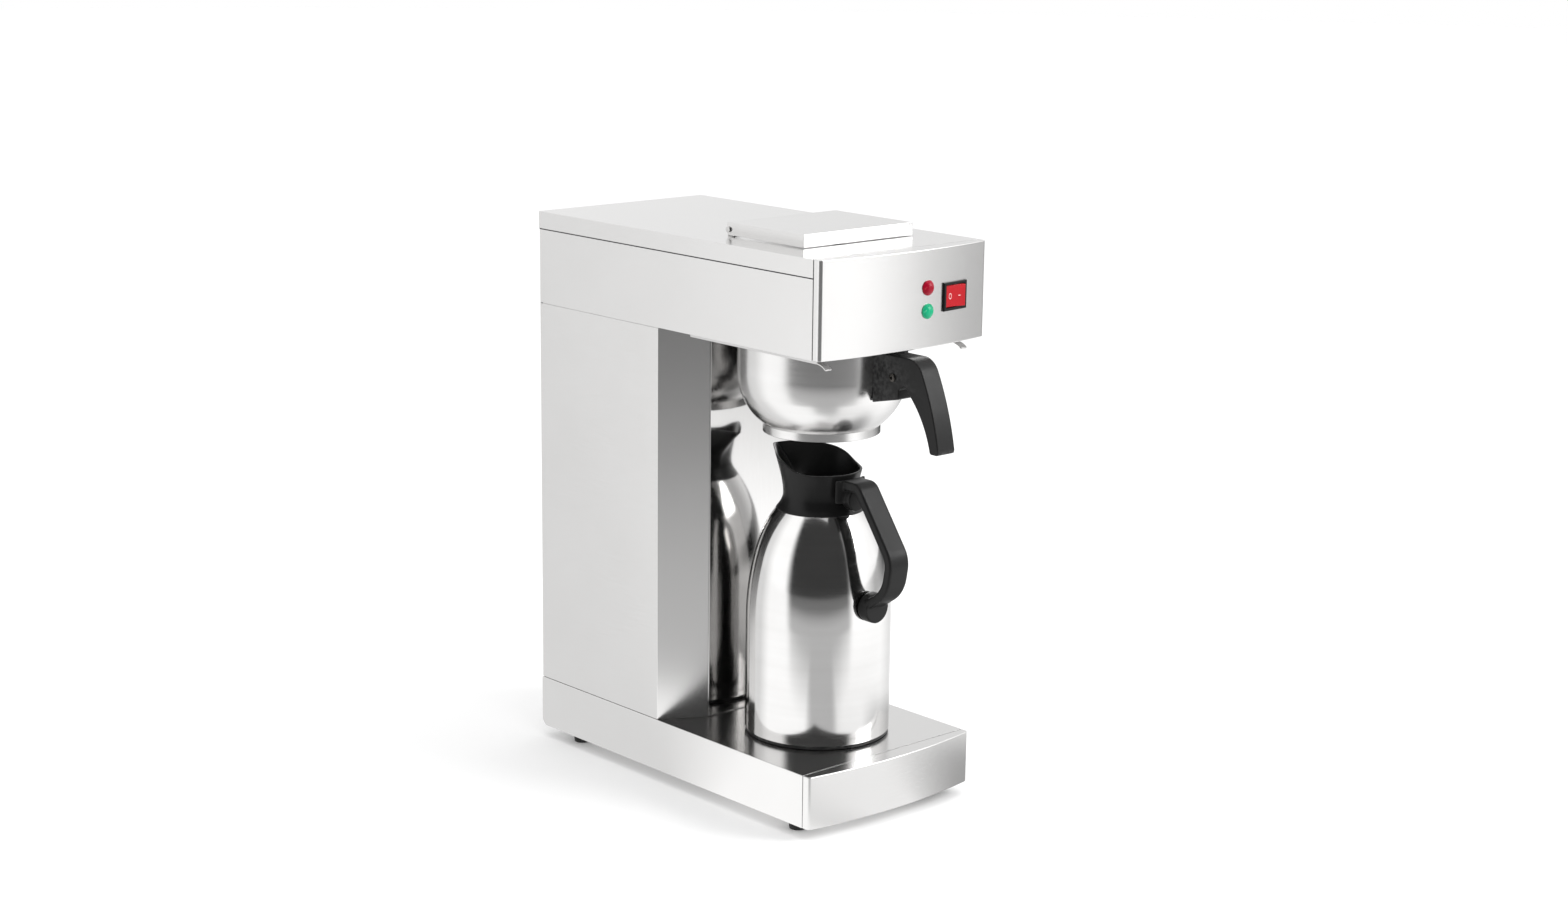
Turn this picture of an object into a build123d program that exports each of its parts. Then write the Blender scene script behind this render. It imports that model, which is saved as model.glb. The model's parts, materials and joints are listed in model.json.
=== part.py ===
from build123d import *
import os
from math import asin, cos, degrees, radians, sin, sqrt

# Commercial coffee brewer: a folded steel body with a brew funnel on rails and a steel carafe.
# Millimetres. +X is the brewer's right seen from the front, +Y the rear, +Z up.
# Depths are measured forwards from the rear panel, heights upwards from the counter.
# The origin is on the counter, in the middle of the whole object's footprint.

# ---- body ----
body_width = 200.0
sheet = 1.2                 # body sheet thickness
seam = 1.0                  # open gap between neighbouring body panels
foot_height = 11.5
base_height = 48.7
column_height = 370.7
head_height = 86.6
cover_skirt = 16.0          # depth of the top cover's folded edge
base_side_depth = 376.6
base_corner_depth = 384.6
base_bow = 9.5              # how far the base front panel bulges
head_side_depth = 380.5
head_corner_depth = 389.0
head_bow = 9.0              # how far the head front panel bulges
corner_radius = 2.6
lip_length = 12.0           # panel lips that close the seams from behind
base_heel = 4.5             # clipped lower rear corner of the base
backing_height = 10.0

# ---- column ----
column_inset = 1.0          # column sides stand this far inside the body's sides
column_side_depth = 175.3
column_depth = 199.6
column_face_width = 115.2
flange_width = 12.0
head_recess = 1.0           # underside plate sits this far inside the head
vent_length = 64.0
vent_height = 4.0
vent_pitch = 11.0
vent_count = 7

# ---- feet and fasteners ----
foot_radius = 9.0
foot_spread = 80.0
foot_rear_depth = 38.0
foot_front_depth = 350.0
screw_radius = 2.0
screw_head_radius = 3.9
screw_head_height = 2.0
hole_clearance = 0.1

# ---- cord gland ----
gland_reach = 12.0          # how far it stands behind the rear panel
gland_radius = 9.5
gland_bore = 4.2
gland_x = 62.0
gland_z = 88.0

# ---- fill lid and basin ----
lid_width = 132.0
lid_depth = 100.0
lid_height = 11.3
lid_gap = 1.0
lid_rear_depth = 231.0
lid_sheet = 1.0
pivot_inset = 2.5           # hinge line in front of the lid's rear edge
pin_radius = 1.5
pin_clearance = 0.06
ear_thickness = 1.5
ear_radius = 4.0
ear_gap = 1.3
fill_width = 104.0
fill_depth = 69.0
fill_rear_depth = 247.0
fill_corner = 8.0
basin_depth = 53.0
basin_margin = 5.0
basin_wall = 1.0
basin_flange = 6.0

# ---- tank ----
tank_width = 150.0
tank_depth = 120.0
tank_rear_depth = 22.0
tank_bottom = 80.0
tank_height = 320.0
tank_wall = 1.0
tank_corner = 8.0
tank_flange = 8.0
tank_lid_thickness = 1.5
gasket_thickness = 1.5
element_radius = 4.1
element_x = 50.0
element_inset = 38.0        # element legs from the tank's front and rear walls
element_bend = 15.0
element_floor_gap = 18.0
pipe_radius = 5.0
pipe_bore = 3.8
tube_wall = 1.9
fit_gap = 0.1
pipe_depth = 118.0
fill_pipe_x = -35.0
fill_pipe_floor_gap = 22.0
pipe_stub = 10.0
spray_tube_rise = 18.9      # hose centre line above the head's underside plate
neck_stub = 4.5             # sprayhead neck above its nut
tube_bend = 18.0
spray_bend = 9.8

# ---- sprayhead, rails and funnel ----
brew_depth = 287.0          # common axis of sprayhead, funnel and carafe
spray_radius = 30.0
spray_drop = 3.7
spray_sheet = 1.0
spray_hole = 1.1
nut_flats = 18.0
nut_height = 4.0
rail_inner = 79.0
rail_web = 85.0
rail_outer = 94.6
rail_drop = 6.9             # rail shelf's underside below the head's underside plate
rail_rear_depth = 205.0
rail_front_depth = 372.0
rail_tip_depth = 383.0
rail_tip_drop = 4.4
rail_screw_depths = (225.0, 290.0, 355.0)
slide_gap = 0.3
funnel_radius = 76.6
funnel_rim_radius = 84.0
funnel_wall = 1.0
funnel_straight_end = 38.3  # below the rim's underside
funnel_bowl_end = 76.8
funnel_foot_drop = 84.8
funnel_foot_radius = 53.2
funnel_mid = (7.2, 20.0)    # a point on the bowl's curve, in from and below the straight wall's end
funnel_drain = 4.0
drain_cone = (2.0, 1.0)     # countersink of the drain, wide and deep
drain_fall = 4.0            # the floor falls this far to the countersink
rest_rise = 5.0             # filter rest above the funnel's floor
rest_sheet = 0.8
rest_inset = 2.0
rest_rings = ((14.0, 8), (28.0, 14), (41.0, 20))        # radius and number of holes
rest_hole = 2.0
rest_legs = 3
rest_leg_ring = 38.0
rest_leg_radius = 2.2
grip_width = 21.0
grip_arm = 81.0             # from the bowl's front wall to the grip's tip
grip_edge = 0.5             # broken edges of the grip
grip_tip_drop = 80.0
# Outline points of the handle: forward of the bowl's front wall, and below the handle's top.
grip_flat = (40.5, 0.0)
grip_bend = (52.2, 2.9)
grip_shoulder = (58.5, 9.6)
grip_back = (71.3, 40.0)
grip_palm = (60.5, 54.0)
arch_front = (43.0, 31.0)
arch_crown = (36.5, 26.5)
arch_rear = (31.3, 30.0)
arch_foot = (31.3, 38.0)
grip_tip_width = 10.5
grip_tip_corner = (2.0, 3.0)
grip_top_gap = 0.2          # handle's top below the rim's underside
bracket_width = 20.0
bracket_drop = 46.5
bracket_cheek_drop = 20.0   # the wide part of the handle ends here over the bracket
bolt_place = (24.0, 19.5)
bolt_radius = 2.6
bolt_head_radius = 4.0
bolt_head_height = 2.2
bolt_nut_radius = 4.2
bolt_nut_height = 2.6

# ---- carafe ----
carafe_radius = 66.5
carafe_wall = 0.8
carafe_ring = 3.2
carafe_straight = 107.6     # straight wall above the foot ring's underside
shoulder_radius = 59.1
shoulder_height = 168.7
neck_radius = 40.3
neck_height = 209.6
vacuum_gap = 5.0
bore_radius = 30.0
collar_waist_radius = 34.0
collar_waist_height = 222.0
collar_rim_radius = 42.0
rim_front_height = 247.0
rim_rear_height = 262.0
spout_reach = 66.0
spout_tip_height = 256.0
spout_tip_radius = 3.0
collar_wall = 2.4
foot_ring_inset = 0.6
foot_ring_width = 6.0
cap_rise = 1.0              # bottom disc above the foot ring's underside
liner_rise = 6.0            # liner's neck above the body's neck
liner_cone = 3.0
collar_foot_flare = 2.4     # collar wider than its waist just above the body
beak_growth = (0.4, 0.8, 3.5, 15.0)     # beak beyond the circle's waist radius at each level up
collar_growth = (0.9, 3.8)  # circle beyond the waist radius at the same upper levels
mouth_rise = 4.0            # mouth's floor above the waist
spout_inset = 1.6           # beak's wall, in collar walls
stopper_clearance = 0.4
stopper_height = 20.0
stopper_rise = 3.0          # stopper's top above the liner's neck
stopper_hole = 5.0
stopper_toe = (3.0, 4.0)
stopper_lip = 2.0
stopper_dish = (1.5, 4.0)
stopper_funnel = (2.0, 9.0)
stopper_well = 10.0
strap_width = 24.0
strap_thickness = 8.5
strap_clear = 39.0          # from the body's side to the strap's outer face
strap_top = 243.5           # above the carafe's bottom, like the next two
strap_knee = 174.0
boss_height = 131.0
boss_radius = 13.8
boss_length = 14.0
strap_corner = 2.6
strap_bends = [8.0, 22.0, 30.0]
saddle_width = 36.0
saddle_thickness = 3.2
saddle_low = 222.5          # above the carafe's bottom, like the next two
saddle_high = 243.5
disc_height = 226.0
disc_radius = 11.0
disc_length = 10.0

# ---- switch and lamps ----
switch_x = 55.0
switch_drop = 44.1          # below the head's top
switch_width = 31.2
switch_height = 25.4
switch_bezel = 2.0
switch_body_width = 28.2
switch_body_height = 21.6
switch_body_depth = 24.0
key_width = 22.8
key_height = 19.4
key_gap = 1.5
key_tilt = 9.0
key_pivot = 3.5             # behind the panel face
key_crest = 1.3             # middle of the key in front of the panel face
key_wing = 3.0              # and its two ends
key_shoulder = 2.0          # straight sides behind the panel face
key_root = 7.0
key_taper = 5.0
bezel_edge = 0.9
switch_well = 12.0          # hollow that the key tilts in
tab_x = 7.0                 # the two terminals
tab_size = (0.8, 6.0, 6.3)
lamp_x = 20.0
lamp_drops = {"heating_lamp": 33.7, "ready_lamp": 54.2}
lamp_radius = 6.75
lamp_height = 4.2
lamp_body_radius = 5.0
lamp_body_depth = 24.0
lamp_flange = 1.0
lamp_nut_radius = 7.5
lamp_nut_height = 5.0
lamp_nut_gap = 3.0          # nut behind the panel face

# ---- levels and depths that follow from the sizes above ----
half_width = body_width / 2
column_width = body_width - 2 * column_inset
grip_reach = brew_depth + funnel_radius + grip_arm
base_bottom = foot_height
base_top = base_bottom + base_height
head_bottom = base_top + column_height
head_top = head_bottom + head_height
skirt_bottom = head_top - cover_skirt
plate_bottom = head_bottom + head_recess
plate_top = plate_bottom + sheet
lid_bottom = head_top + lid_gap
lid_top = lid_bottom + lid_height
rear_y = (grip_reach - gland_reach) / 2
brew_y = rear_y - brew_depth
shelf_bottom = plate_bottom - rail_drop
shelf_top = shelf_bottom + sheet
rim_bottom = shelf_top + slide_gap
rim_top = rim_bottom + sheet
carafe_bottom = base_top + slide_gap
tank_top = tank_bottom + tank_height
tank_lid_bottom = tank_top + tank_wall + gasket_thickness
tank_lid_top = tank_lid_bottom + tank_lid_thickness
basin_bottom = head_top - sheet - basin_depth
fill_tube_z = basin_bottom + pipe_radius + 1.5
spray_tube_z = plate_top + spray_tube_rise
pivot_y = rear_y - lid_rear_depth - pivot_inset
pivot_z = head_top + 6.0

made = {}


def depth(d):
    """y of a point d millimetres in front of the rear panel."""
    return rear_y - d


def block(x0, x1, d0, d1, z0, z1):
    """A box between two x, two depths and two heights."""
    size = (x1 - x0, d1 - d0, z1 - z0)
    return Pos((x0 + x1) / 2, depth((d0 + d1) / 2), (z0 + z1) / 2) * Box(*size)


def rod(x, d, z0, z1, radius):
    return Pos(x, depth(d), (z0 + z1) / 2) * Cylinder(radius, z1 - z0)


def prism(face, z0, z1):
    return extrude(Pos(0, 0, z0) * face, z1 - z0)


def turned(edges, x=0.0, y=0.0):
    """Revolve a closed outline, drawn as (radius, height), about a vertical axis."""
    return Pos(x, y, 0) * revolve(Plane.XZ * make_face(Curve() + edges), Axis.Z)


def ring_of_lines(points):
    """Straight edges that close a loop through the points."""
    return [Line(a, b) for a, b in zip(points, points[1:] + points[:1])]


def extruded_side(edges, x0, x1):
    """Extrude an outline drawn as (depth, height) across the width from x0 to x1."""
    face = make_face(Curve() + edges)
    plane = Plane(origin=(x0, rear_y, 0), x_dir=(0, -1, 0), z_dir=(-1, 0, 0))
    return extrude(plane * face, -(x1 - x0))


def keep(name, shape):
    made[name] = shape


def bow_radius(bow):
    return (half_width ** 2 + bow ** 2) / (2 * bow)


def bowed_face(half, rear, corner, bow):
    """Plan outline of a front panel: straight sides and a bulging front."""
    return make_face(
        Curve()
        + [
            Line((-half, rear), (-half, corner)),
            ThreePointArc((-half, corner), (0, corner - bow), (half, corner)),
            Line((half, corner), (half, rear)),
            Line((half, rear), (-half, rear)),
        ]
    )


def front_panel(z0, z1, side_depth, corner_depth, bow):
    """A bulging folded panel with side, top and bottom flanges and lips behind its seams."""
    rear = depth(side_depth + seam)
    corner = depth(corner_depth)
    outer = prism(bowed_face(half_width, rear, corner, bow), z0, z1)
    corners = outer.edges().filter_by(Axis.Z).group_by(Axis.Y)[0]
    outer = fillet(corners, corner_radius)
    inner = prism(bowed_face(half_width - sheet, rear + seam, corner + sheet, bow), z0 + sheet, z1 - sheet)
    panel = outer - inner
    lip_start = side_depth - lip_length
    outside = half_width - sheet
    inside = outside - sheet
    lip = block(-outside, outside, lip_start, corner_depth - sheet, z0 + 3 * sheet, z1 - sheet)
    lip -= block(-inside, inside, lip_start - seam, corner_depth, z0, z1 - 2 * sheet)
    return panel + lip


def on_front(x, z):
    """Place on the head front panel at x, z, with the local -Y pointing straight out of it."""
    radius = bow_radius(head_bow)
    y = depth(head_corner_depth) - head_bow + radius - sqrt(radius ** 2 - x ** 2)
    return Pos(x, y, z) * Rot(0, 0, degrees(asin(x / radius)))


def upward_screw(x, d, z):
    """A pan-head screw whose head hangs below height z."""
    head = rod(x, d, z - screw_head_height, z, screw_head_radius)
    return head + rod(x, d, z, z + 6 * sheet, screw_radius)


# ---------------------------------------------------------------- base
def make_base():
    shell = block(-half_width, half_width, 0, base_side_depth, base_bottom, base_top)
    inside = half_width - sheet
    shell -= block(-inside, inside, sheet, base_side_depth + seam, base_bottom - seam, base_top - sheet)
    heel = extruded_side(
        ring_of_lines([(-seam, base_bottom - seam), (base_heel, base_bottom - seam), (base_heel, base_bottom),
                       (0, base_bottom + base_heel), (-seam, base_bottom + base_heel)]),
        -half_width - seam,
        half_width + seam,
    )
    shell -= heel
    keep("base_shell", shell)
    keep("base_front_panel", front_panel(base_bottom, base_top, base_side_depth, base_corner_depth, base_bow))

    pan_half = inside - fit_gap
    pan = block(-pan_half, pan_half, base_heel + seam, base_side_depth, base_bottom, base_bottom + sheet)
    feet = Part()
    screws = Part()
    for x in (-foot_spread, foot_spread):
        for d in (foot_rear_depth, foot_front_depth):
            pan -= rod(x, d, base_bottom - seam, base_bottom + 2 * sheet, screw_radius + hole_clearance)
            foot = Pos(x, depth(d), foot_height / 2) * Cone(foot_radius - 1.2, foot_radius, foot_height)
            head_seat = foot_height / 2
            foot -= rod(x, d, -seam, head_seat, screw_head_radius + hole_clearance)
            foot -= rod(x, d, 0, foot_height + seam, screw_radius + hole_clearance)
            feet += foot
            screws += upward_screw(x, d, head_seat) + rod(x, d, head_seat, base_bottom + 3 * sheet, screw_radius)
    keep("base_bottom_plate", pan)
    keep("feet", feet)
    keep("foot_screws", screws)


# ---------------------------------------------------------------- column
def column_outline(inset):
    half = column_width / 2
    face = column_face_width / 2
    plan = make_face(
        Polyline(
            (-half, depth(sheet + 0.2)),
            (-half, depth(column_side_depth)),
            (-face, depth(column_depth)),
            (face, depth(column_depth)),
            (half, depth(column_side_depth)),
            (half, depth(sheet + 0.2)),
            close=True,
        )
    )
    return offset(plan, -inset) if inset else plan


def make_column():
    bottom = base_top + seam / 2
    top = head_bottom - seam
    face = column_face_width / 2
    wall = prism(column_outline(0), bottom, top) - prism(column_outline(sheet), bottom - seam, top + seam)
    behind = column_outline(sheet) - column_outline(2 * sheet)
    for low, high in ((base_top, base_top + backing_height), (top - backing_height, plate_bottom)):
        wall += prism(behind, low, high)
    rear_open = half_width - flange_width
    wall -= block(-rear_open, rear_open, 0, 3 * sheet + seam, 0, head_top)

    front_zone = block(-face - seam / 4, face + seam / 4, column_depth - 4 * sheet, column_depth + seam, 0, head_top)
    sides = wall - front_zone
    for side, name in ((-1, "column_side_left"), (1, "column_side_right")):
        reach = 2 * half_width
        half_space = block(min(0, side * reach), max(0, side * reach), -seam, column_depth + seam, 0, head_top)
        panel = sides & half_space
        for z in rear_screw_heights():
            panel -= rear_hole(side * rear_screw_x(), z)
        keep(name, panel)

    inner_face = face - seam / 4
    front = block(-inner_face, inner_face, column_depth - sheet, column_depth, bottom, top)
    for side in (-1, 1):
        edge = side * inner_face
        turn = side * (inner_face - sheet)
        front += block(min(edge, turn), max(edge, turn), column_depth - flange_width, column_depth, bottom, top)
    bends = front.edges().filter_by(Axis.Z).group_by(Axis.Y)[0]
    front = fillet(bends, sheet)
    tuck = inner_face - 2 * sheet
    for low, high in ((base_top, base_top + backing_height), (top - backing_height, plate_bottom)):
        front += block(-tuck, tuck, column_depth - 2 * sheet, column_depth - sheet, low, high)
    keep("column_front_panel", front)


def rear_screw_x():
    return half_width - flange_width / 2 - sheet


def rear_screw_heights():
    low = base_top + 2 * flange_width
    high = head_bottom - 2 * flange_width
    return [low + (high - low) * step / 3 for step in range(4)]


def rear_hole(x, z):
    return Pos(x, rear_y, z) * Rot(90, 0, 0) * Cylinder(screw_radius + hole_clearance, 8 * sheet)


def make_rear():
    outside = half_width - sheet
    low = base_top + seam / 2
    high = skirt_bottom - seam
    panel = block(-outside, outside, 0, sheet, low, high)
    panel += block(-outside + 2 * sheet, outside - 2 * sheet, sheet, 2 * sheet, high - backing_height,
                   high + backing_height)
    for centre in (low + 0.36 * column_height, head_bottom - 0.16 * column_height):
        for step in range(vent_count):
            z = centre + (step - (vent_count - 1) / 2) * vent_pitch
            slot = SlotOverall(vent_length, vent_height)
            panel -= extrude(Plane(origin=(0, rear_y + seam, z), x_dir=(1, 0, 0), z_dir=(0, -1, 0)) * slot, 3 * sheet)
    screws = Part()
    for x in (-rear_screw_x(), rear_screw_x()):
        for z in rear_screw_heights():
            panel -= rear_hole(x, z)
            turn = Pos(x, rear_y, z) * Rot(-90, 0, 0)
            screws += turn * (Pos(0, 0, screw_head_height / 2) * Cylinder(screw_head_radius, screw_head_height))
            screws += turn * (Pos(0, 0, -2.5 * sheet) * Cylinder(screw_radius, 5 * sheet))
    bore_hole = Pos(gland_x, rear_y, gland_z) * Rot(90, 0, 0) * Cylinder(gland_radius - 2.5, 8 * sheet)
    panel -= bore_hole
    keep("rear_panel", panel)
    keep("rear_screws", screws)

    tail = gland_radius - 3.0
    body = gland_radius - 2.5 - fit_gap
    outline = ring_of_lines(
        [(gland_bore, gland_reach), (tail, gland_reach), (gland_radius - 1.5, 3.0), (gland_radius, 3.0),
         (gland_radius, 0), (body, 0), (body, -9.0), (gland_bore, -9.0)]
    )
    gland = revolve(Plane.XZ * make_face(Curve() + outline), Axis.Z)
    keep("cord_gland", Pos(gland_x, rear_y, gland_z) * Rot(-90, 0, 0) * gland)
    nut = extrude(RegularPolygon(gland_radius + 1.5, 6) - Circle(body + fit_gap), 4.0)
    keep("gland_nut", Pos(gland_x, depth(sheet + 4.0), gland_z) * Rot(-90, 0, 0) * nut)


# ---------------------------------------------------------------- head
def make_head():
    outside = half_width
    inside = half_width - sheet
    side_top = skirt_bottom - seam
    start = sheet + 0.2
    tray = Part()
    for side in (-1, 1):
        tray += block(min(side * inside, side * outside), max(side * inside, side * outside), start,
                      head_side_depth, head_bottom, side_top)
        lip = side * (inside - sheet)
        tray += block(min(side * inside, lip), max(side * inside, lip), start + sheet,
                      head_side_depth - lip_length - seam, side_top - backing_height, head_top - 2 * sheet)
    tray += block(-inside, inside, start, head_side_depth, plate_bottom, plate_top)
    well = inside - flange_width / 3
    tray -= block(-well, well, flange_width, column_side_depth - flange_width / 2, plate_bottom - seam,
                  plate_top + seam)
    tray -= rod(0, brew_depth, plate_bottom - seam, plate_top + seam, pipe_radius + hole_clearance)
    screws = Part()
    for x in (-rail_screw_x(), rail_screw_x()):
        for d in rail_screw_depths:
            tray -= rod(x, d, plate_bottom - seam, plate_top + seam, screw_radius + hole_clearance)
            screws += upward_screw(x, d, plate_bottom - sheet)
    keep("head_tray", tray)
    keep("rail_screws", screws)

    cover = block(-half_width, half_width, 0, head_side_depth, skirt_bottom, head_top)
    cover -= block(-inside, inside, sheet, head_side_depth + seam, skirt_bottom - seam, head_top - sheet)
    middle = depth(fill_rear_depth + fill_depth / 2)
    hatch = RectangleRounded(fill_width, fill_depth, fill_corner)
    cover -= prism(Pos(0, middle) * hatch, head_top - 2 * sheet, head_top + seam)
    keep("top_cover", cover)

    panel = front_panel(head_bottom, head_top, head_side_depth, head_corner_depth, head_bow)
    cut_depth = 6 * sheet
    panel -= on_front(switch_x, head_top - switch_drop) * Box(
        switch_body_width + 2 * fit_gap, cut_depth, switch_body_height + 2 * fit_gap
    )
    for drop in lamp_drops.values():
        place = on_front(lamp_x, head_top - drop) * Rot(90, 0, 0)
        panel -= place * Cylinder(lamp_body_radius + fit_gap, cut_depth)
    keep("head_front_panel", panel)


def rail_screw_x():
    return (rail_web + sheet + rail_outer) / 2


# ---------------------------------------------------------------- fill lid and basin
def make_lid():
    half = lid_width / 2
    front = lid_rear_depth + lid_depth
    lid = block(-half, half, lid_rear_depth, front, lid_bottom, lid_top)
    lid -= block(-half + lid_sheet, half - lid_sheet, lid_rear_depth - seam, front - lid_sheet,
                 lid_bottom - seam, lid_top - lid_sheet)
    hole = Pos(0, pivot_y, pivot_z) * Rot(0, 90, 0) * Cylinder(pin_radius + pin_clearance, lid_width + 2 * seam)
    lid -= hole
    heel = lid_bottom + 2 * lid_sheet
    lid -= extruded_side(
        ring_of_lines([(lid_rear_depth - seam, lid_bottom - seam), (lid_rear_depth + 2, lid_bottom - seam),
                       (lid_rear_depth + 2, lid_bottom), (lid_rear_depth, heel), (lid_rear_depth - seam, heel)]),
        -half - seam,
        half + seam,
    )
    keep("fill_lid", lid)

    ears = Part()
    pins = Part()
    ear_out = half - lid_sheet - ear_gap
    ear_in = ear_out - ear_thickness
    for side in (-1, 1):
        cheek = Pos(side * (ear_in + ear_out) / 2, pivot_y, pivot_z) * Rot(0, 90, 0) * Cylinder(
            ear_radius, ear_thickness
        )
        low, high = sorted((side * ear_in, side * ear_out))
        pivot_depth = lid_rear_depth + pivot_inset
        cheek += block(low, high, pivot_depth - ear_radius, pivot_depth + ear_radius, head_top, pivot_z)
        foot_low, foot_high = sorted((side * (ear_in - 8), side * ear_out))
        cheek += block(foot_low, foot_high, pivot_depth - ear_radius, pivot_depth + ear_radius, head_top,
                       head_top + sheet)
        cheek -= Pos(0, pivot_y, pivot_z) * Rot(0, 90, 0) * Cylinder(pin_radius + pin_clearance, 2 * lid_width)
        ears += cheek
        shank_start = ear_in - 1
        shank_end = half + slide_gap
        shank = Pos(side * (shank_start + shank_end) / 2, pivot_y, pivot_z) * Rot(0, 90, 0)
        pins += shank * Cylinder(pin_radius, shank_end - shank_start)
        cap = Pos(side * (shank_end + 0.6), pivot_y, pivot_z) * Rot(0, 90, 0)
        pins += cap * Cylinder(pin_radius + 1.1, 1.2)
    keep("lid_hinge_ears", ears)
    keep("lid_hinge_pins", pins)

    flange_top = head_top - sheet
    half_fill = fill_width / 2 + basin_margin
    rear = fill_rear_depth - basin_margin
    front = fill_rear_depth + fill_depth + basin_margin
    basin = block(-half_fill, half_fill, rear, front, basin_bottom, flange_top)
    basin += block(-half_fill - basin_flange, half_fill + basin_flange, rear - basin_flange,
                   front + basin_flange, flange_top - basin_wall, flange_top)
    basin -= block(-half_fill + basin_wall, half_fill - basin_wall, rear + basin_wall, front - basin_wall,
                   basin_bottom + basin_wall, flange_top + seam)
    spigot_end = rear - 1.2 * pipe_stub
    axis_place = Pos(fill_pipe_x, depth((spigot_end + rear + basin_wall) / 2), fill_tube_z) * Rot(90, 0, 0)
    length = rear + basin_wall - spigot_end
    basin += axis_place * Cylinder(pipe_radius, length)
    basin -= axis_place * Cylinder(pipe_bore, length + 2 * seam)
    keep("fill_basin", basin)


# ---------------------------------------------------------------- tank and water path
def rounded_box(half_x, d0, d1, z0, z1, radius):
    middle = (d0 + d1) / 2
    face = Pos(0, depth(middle)) * RectangleRounded(2 * half_x, d1 - d0, radius)
    return prism(face, z0, z1)


def make_tank():
    half = tank_width / 2
    d0 = tank_rear_depth
    d1 = tank_rear_depth + tank_depth
    w = tank_wall
    tank = rounded_box(half, d0, d1, tank_bottom, tank_top, tank_corner)
    rim = tank_flange
    tank += rounded_box(half + rim, d0 - rim, d1 + rim, tank_top, tank_top + w, tank_corner + rim)
    tank -= rounded_box(half - w, d0 + w, d1 - w, tank_bottom + w, tank_top + 2 * w, tank_corner - w)
    gasket = rounded_box(half + rim, d0 - rim, d1 + rim, tank_top + w, tank_lid_bottom, tank_corner + rim)
    gasket -= rounded_box(half - w, d0 + w, d1 - w, tank_top, tank_lid_top, tank_corner - w)
    lid = rounded_box(half + rim, d0 - rim, d1 + rim, tank_lid_bottom, tank_lid_top, tank_corner + rim)

    screws = Part()
    for x in (-half - rim / 2, half + rim / 2):
        for d in (d0 + tank_depth / 6, d0 + tank_depth / 2, d1 - tank_depth / 6):
            hole = rod(x, d, tank_top - seam, tank_lid_top + seam, screw_radius + hole_clearance)
            tank -= hole
            gasket -= hole
            lid -= hole
            screws += rod(x, d, tank_top - 2 * screw_head_height, tank_lid_top, screw_radius)
            screws += rod(x, d, tank_lid_top, tank_lid_top + screw_head_height, screw_head_radius - 0.4)
    leg_rear = d0 + element_inset
    leg_front = d1 - element_inset
    for x, d, radius in ((element_x, leg_rear, element_radius), (element_x, leg_front, element_radius),
                         (fill_pipe_x, pipe_depth, pipe_radius), (0, pipe_depth, pipe_radius)):
        lid -= rod(x, d, tank_lid_bottom - seam, tank_lid_top + seam, radius + hole_clearance)
    keep("hot_water_tank", tank)
    keep("tank_gasket", gasket)
    keep("tank_lid", lid)
    keep("tank_screws", screws)

    # Heating element: one sheath bent into a hairpin on the tank floor, both legs up through the lid.
    floor = tank_bottom + w + element_floor_gap
    terminal = tank_lid_top + 14.0
    route = FilletPolyline(
        (element_x, depth(leg_rear), terminal),
        (element_x, depth(leg_rear), floor),
        (-element_x, depth(leg_rear), floor),
        (-element_x, depth(leg_front), floor),
        (element_x, depth(leg_front), floor),
        (element_x, depth(leg_front), terminal),
        radius=element_bend,
    )
    start = Plane(origin=route @ 0, z_dir=route % 0)
    element = sweep(start * Circle(element_radius), path=route)
    for d in (leg_rear, leg_front):
        bush = rod(element_x, d, tank_lid_top, tank_lid_top + 5, element_radius + 4)
        element += bush
        element += rod(element_x, d, terminal, terminal + 5, 1.2)
    keep("heating_element", element)

    # Inlet pipe down to the tank floor, and the short outlet stub under the lid.
    top = tank_lid_top + 1.4 * pipe_stub
    for name, x, low in (("tank_inlet_pipe", fill_pipe_x, tank_bottom + w + fill_pipe_floor_gap),
                         ("tank_outlet_stub", 0, tank_lid_bottom - 6)):
        pipe = rod(x, pipe_depth, low, top, pipe_radius)
        pipe += rod(x, pipe_depth, tank_lid_top, tank_lid_top + 3, pipe_radius + 3)
        pipe -= rod(x, pipe_depth, low - seam, top + seam, pipe_bore)
        keep(name, pipe)

    hose_start = tank_lid_top + 3 + fit_gap
    basin_rear = fill_rear_depth - basin_margin
    bore = pipe_radius + fit_gap
    fill_route = FilletPolyline(
        (fill_pipe_x, depth(pipe_depth), hose_start),
        (fill_pipe_x, depth(pipe_depth), fill_tube_z),
        (fill_pipe_x, depth(basin_rear - fit_gap), fill_tube_z),
        radius=tube_bend,
    )
    keep("fill_hose", hose(fill_route, bore))
    neck_top = plate_top + nut_height + fit_gap
    spray_route = FilletPolyline(
        (0, depth(pipe_depth), hose_start),
        (0, depth(pipe_depth), spray_tube_z),
        (0, depth(brew_depth), spray_tube_z),
        (0, depth(brew_depth), neck_top),
        radius=spray_bend,
    )
    keep("spray_hose", hose(spray_route, bore))

    stand = block(-half + 10, half - 10, d0 + 8, d1 - 8, tank_bottom - sheet, tank_bottom)
    for side in (-1, 1):
        low, high = sorted((side * (half - 10), side * (half - 10 - sheet)))
        stand += block(low, high, d0 + 8, d1 - 8, base_top, tank_bottom)
        foot_low, foot_high = sorted((side * (half - 10), side * (half - 22)))
        stand += block(foot_low, foot_high, d0 + 8, d1 - 8, base_top, base_top + sheet)
    keep("tank_stand", stand)


def hose(route, bore):
    start = Plane(origin=route @ 0, z_dir=route % 0)
    outer = sweep(start * Circle(bore + tube_wall), path=route)
    inner = sweep(start * Circle(bore), path=route)
    return outer - inner


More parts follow.
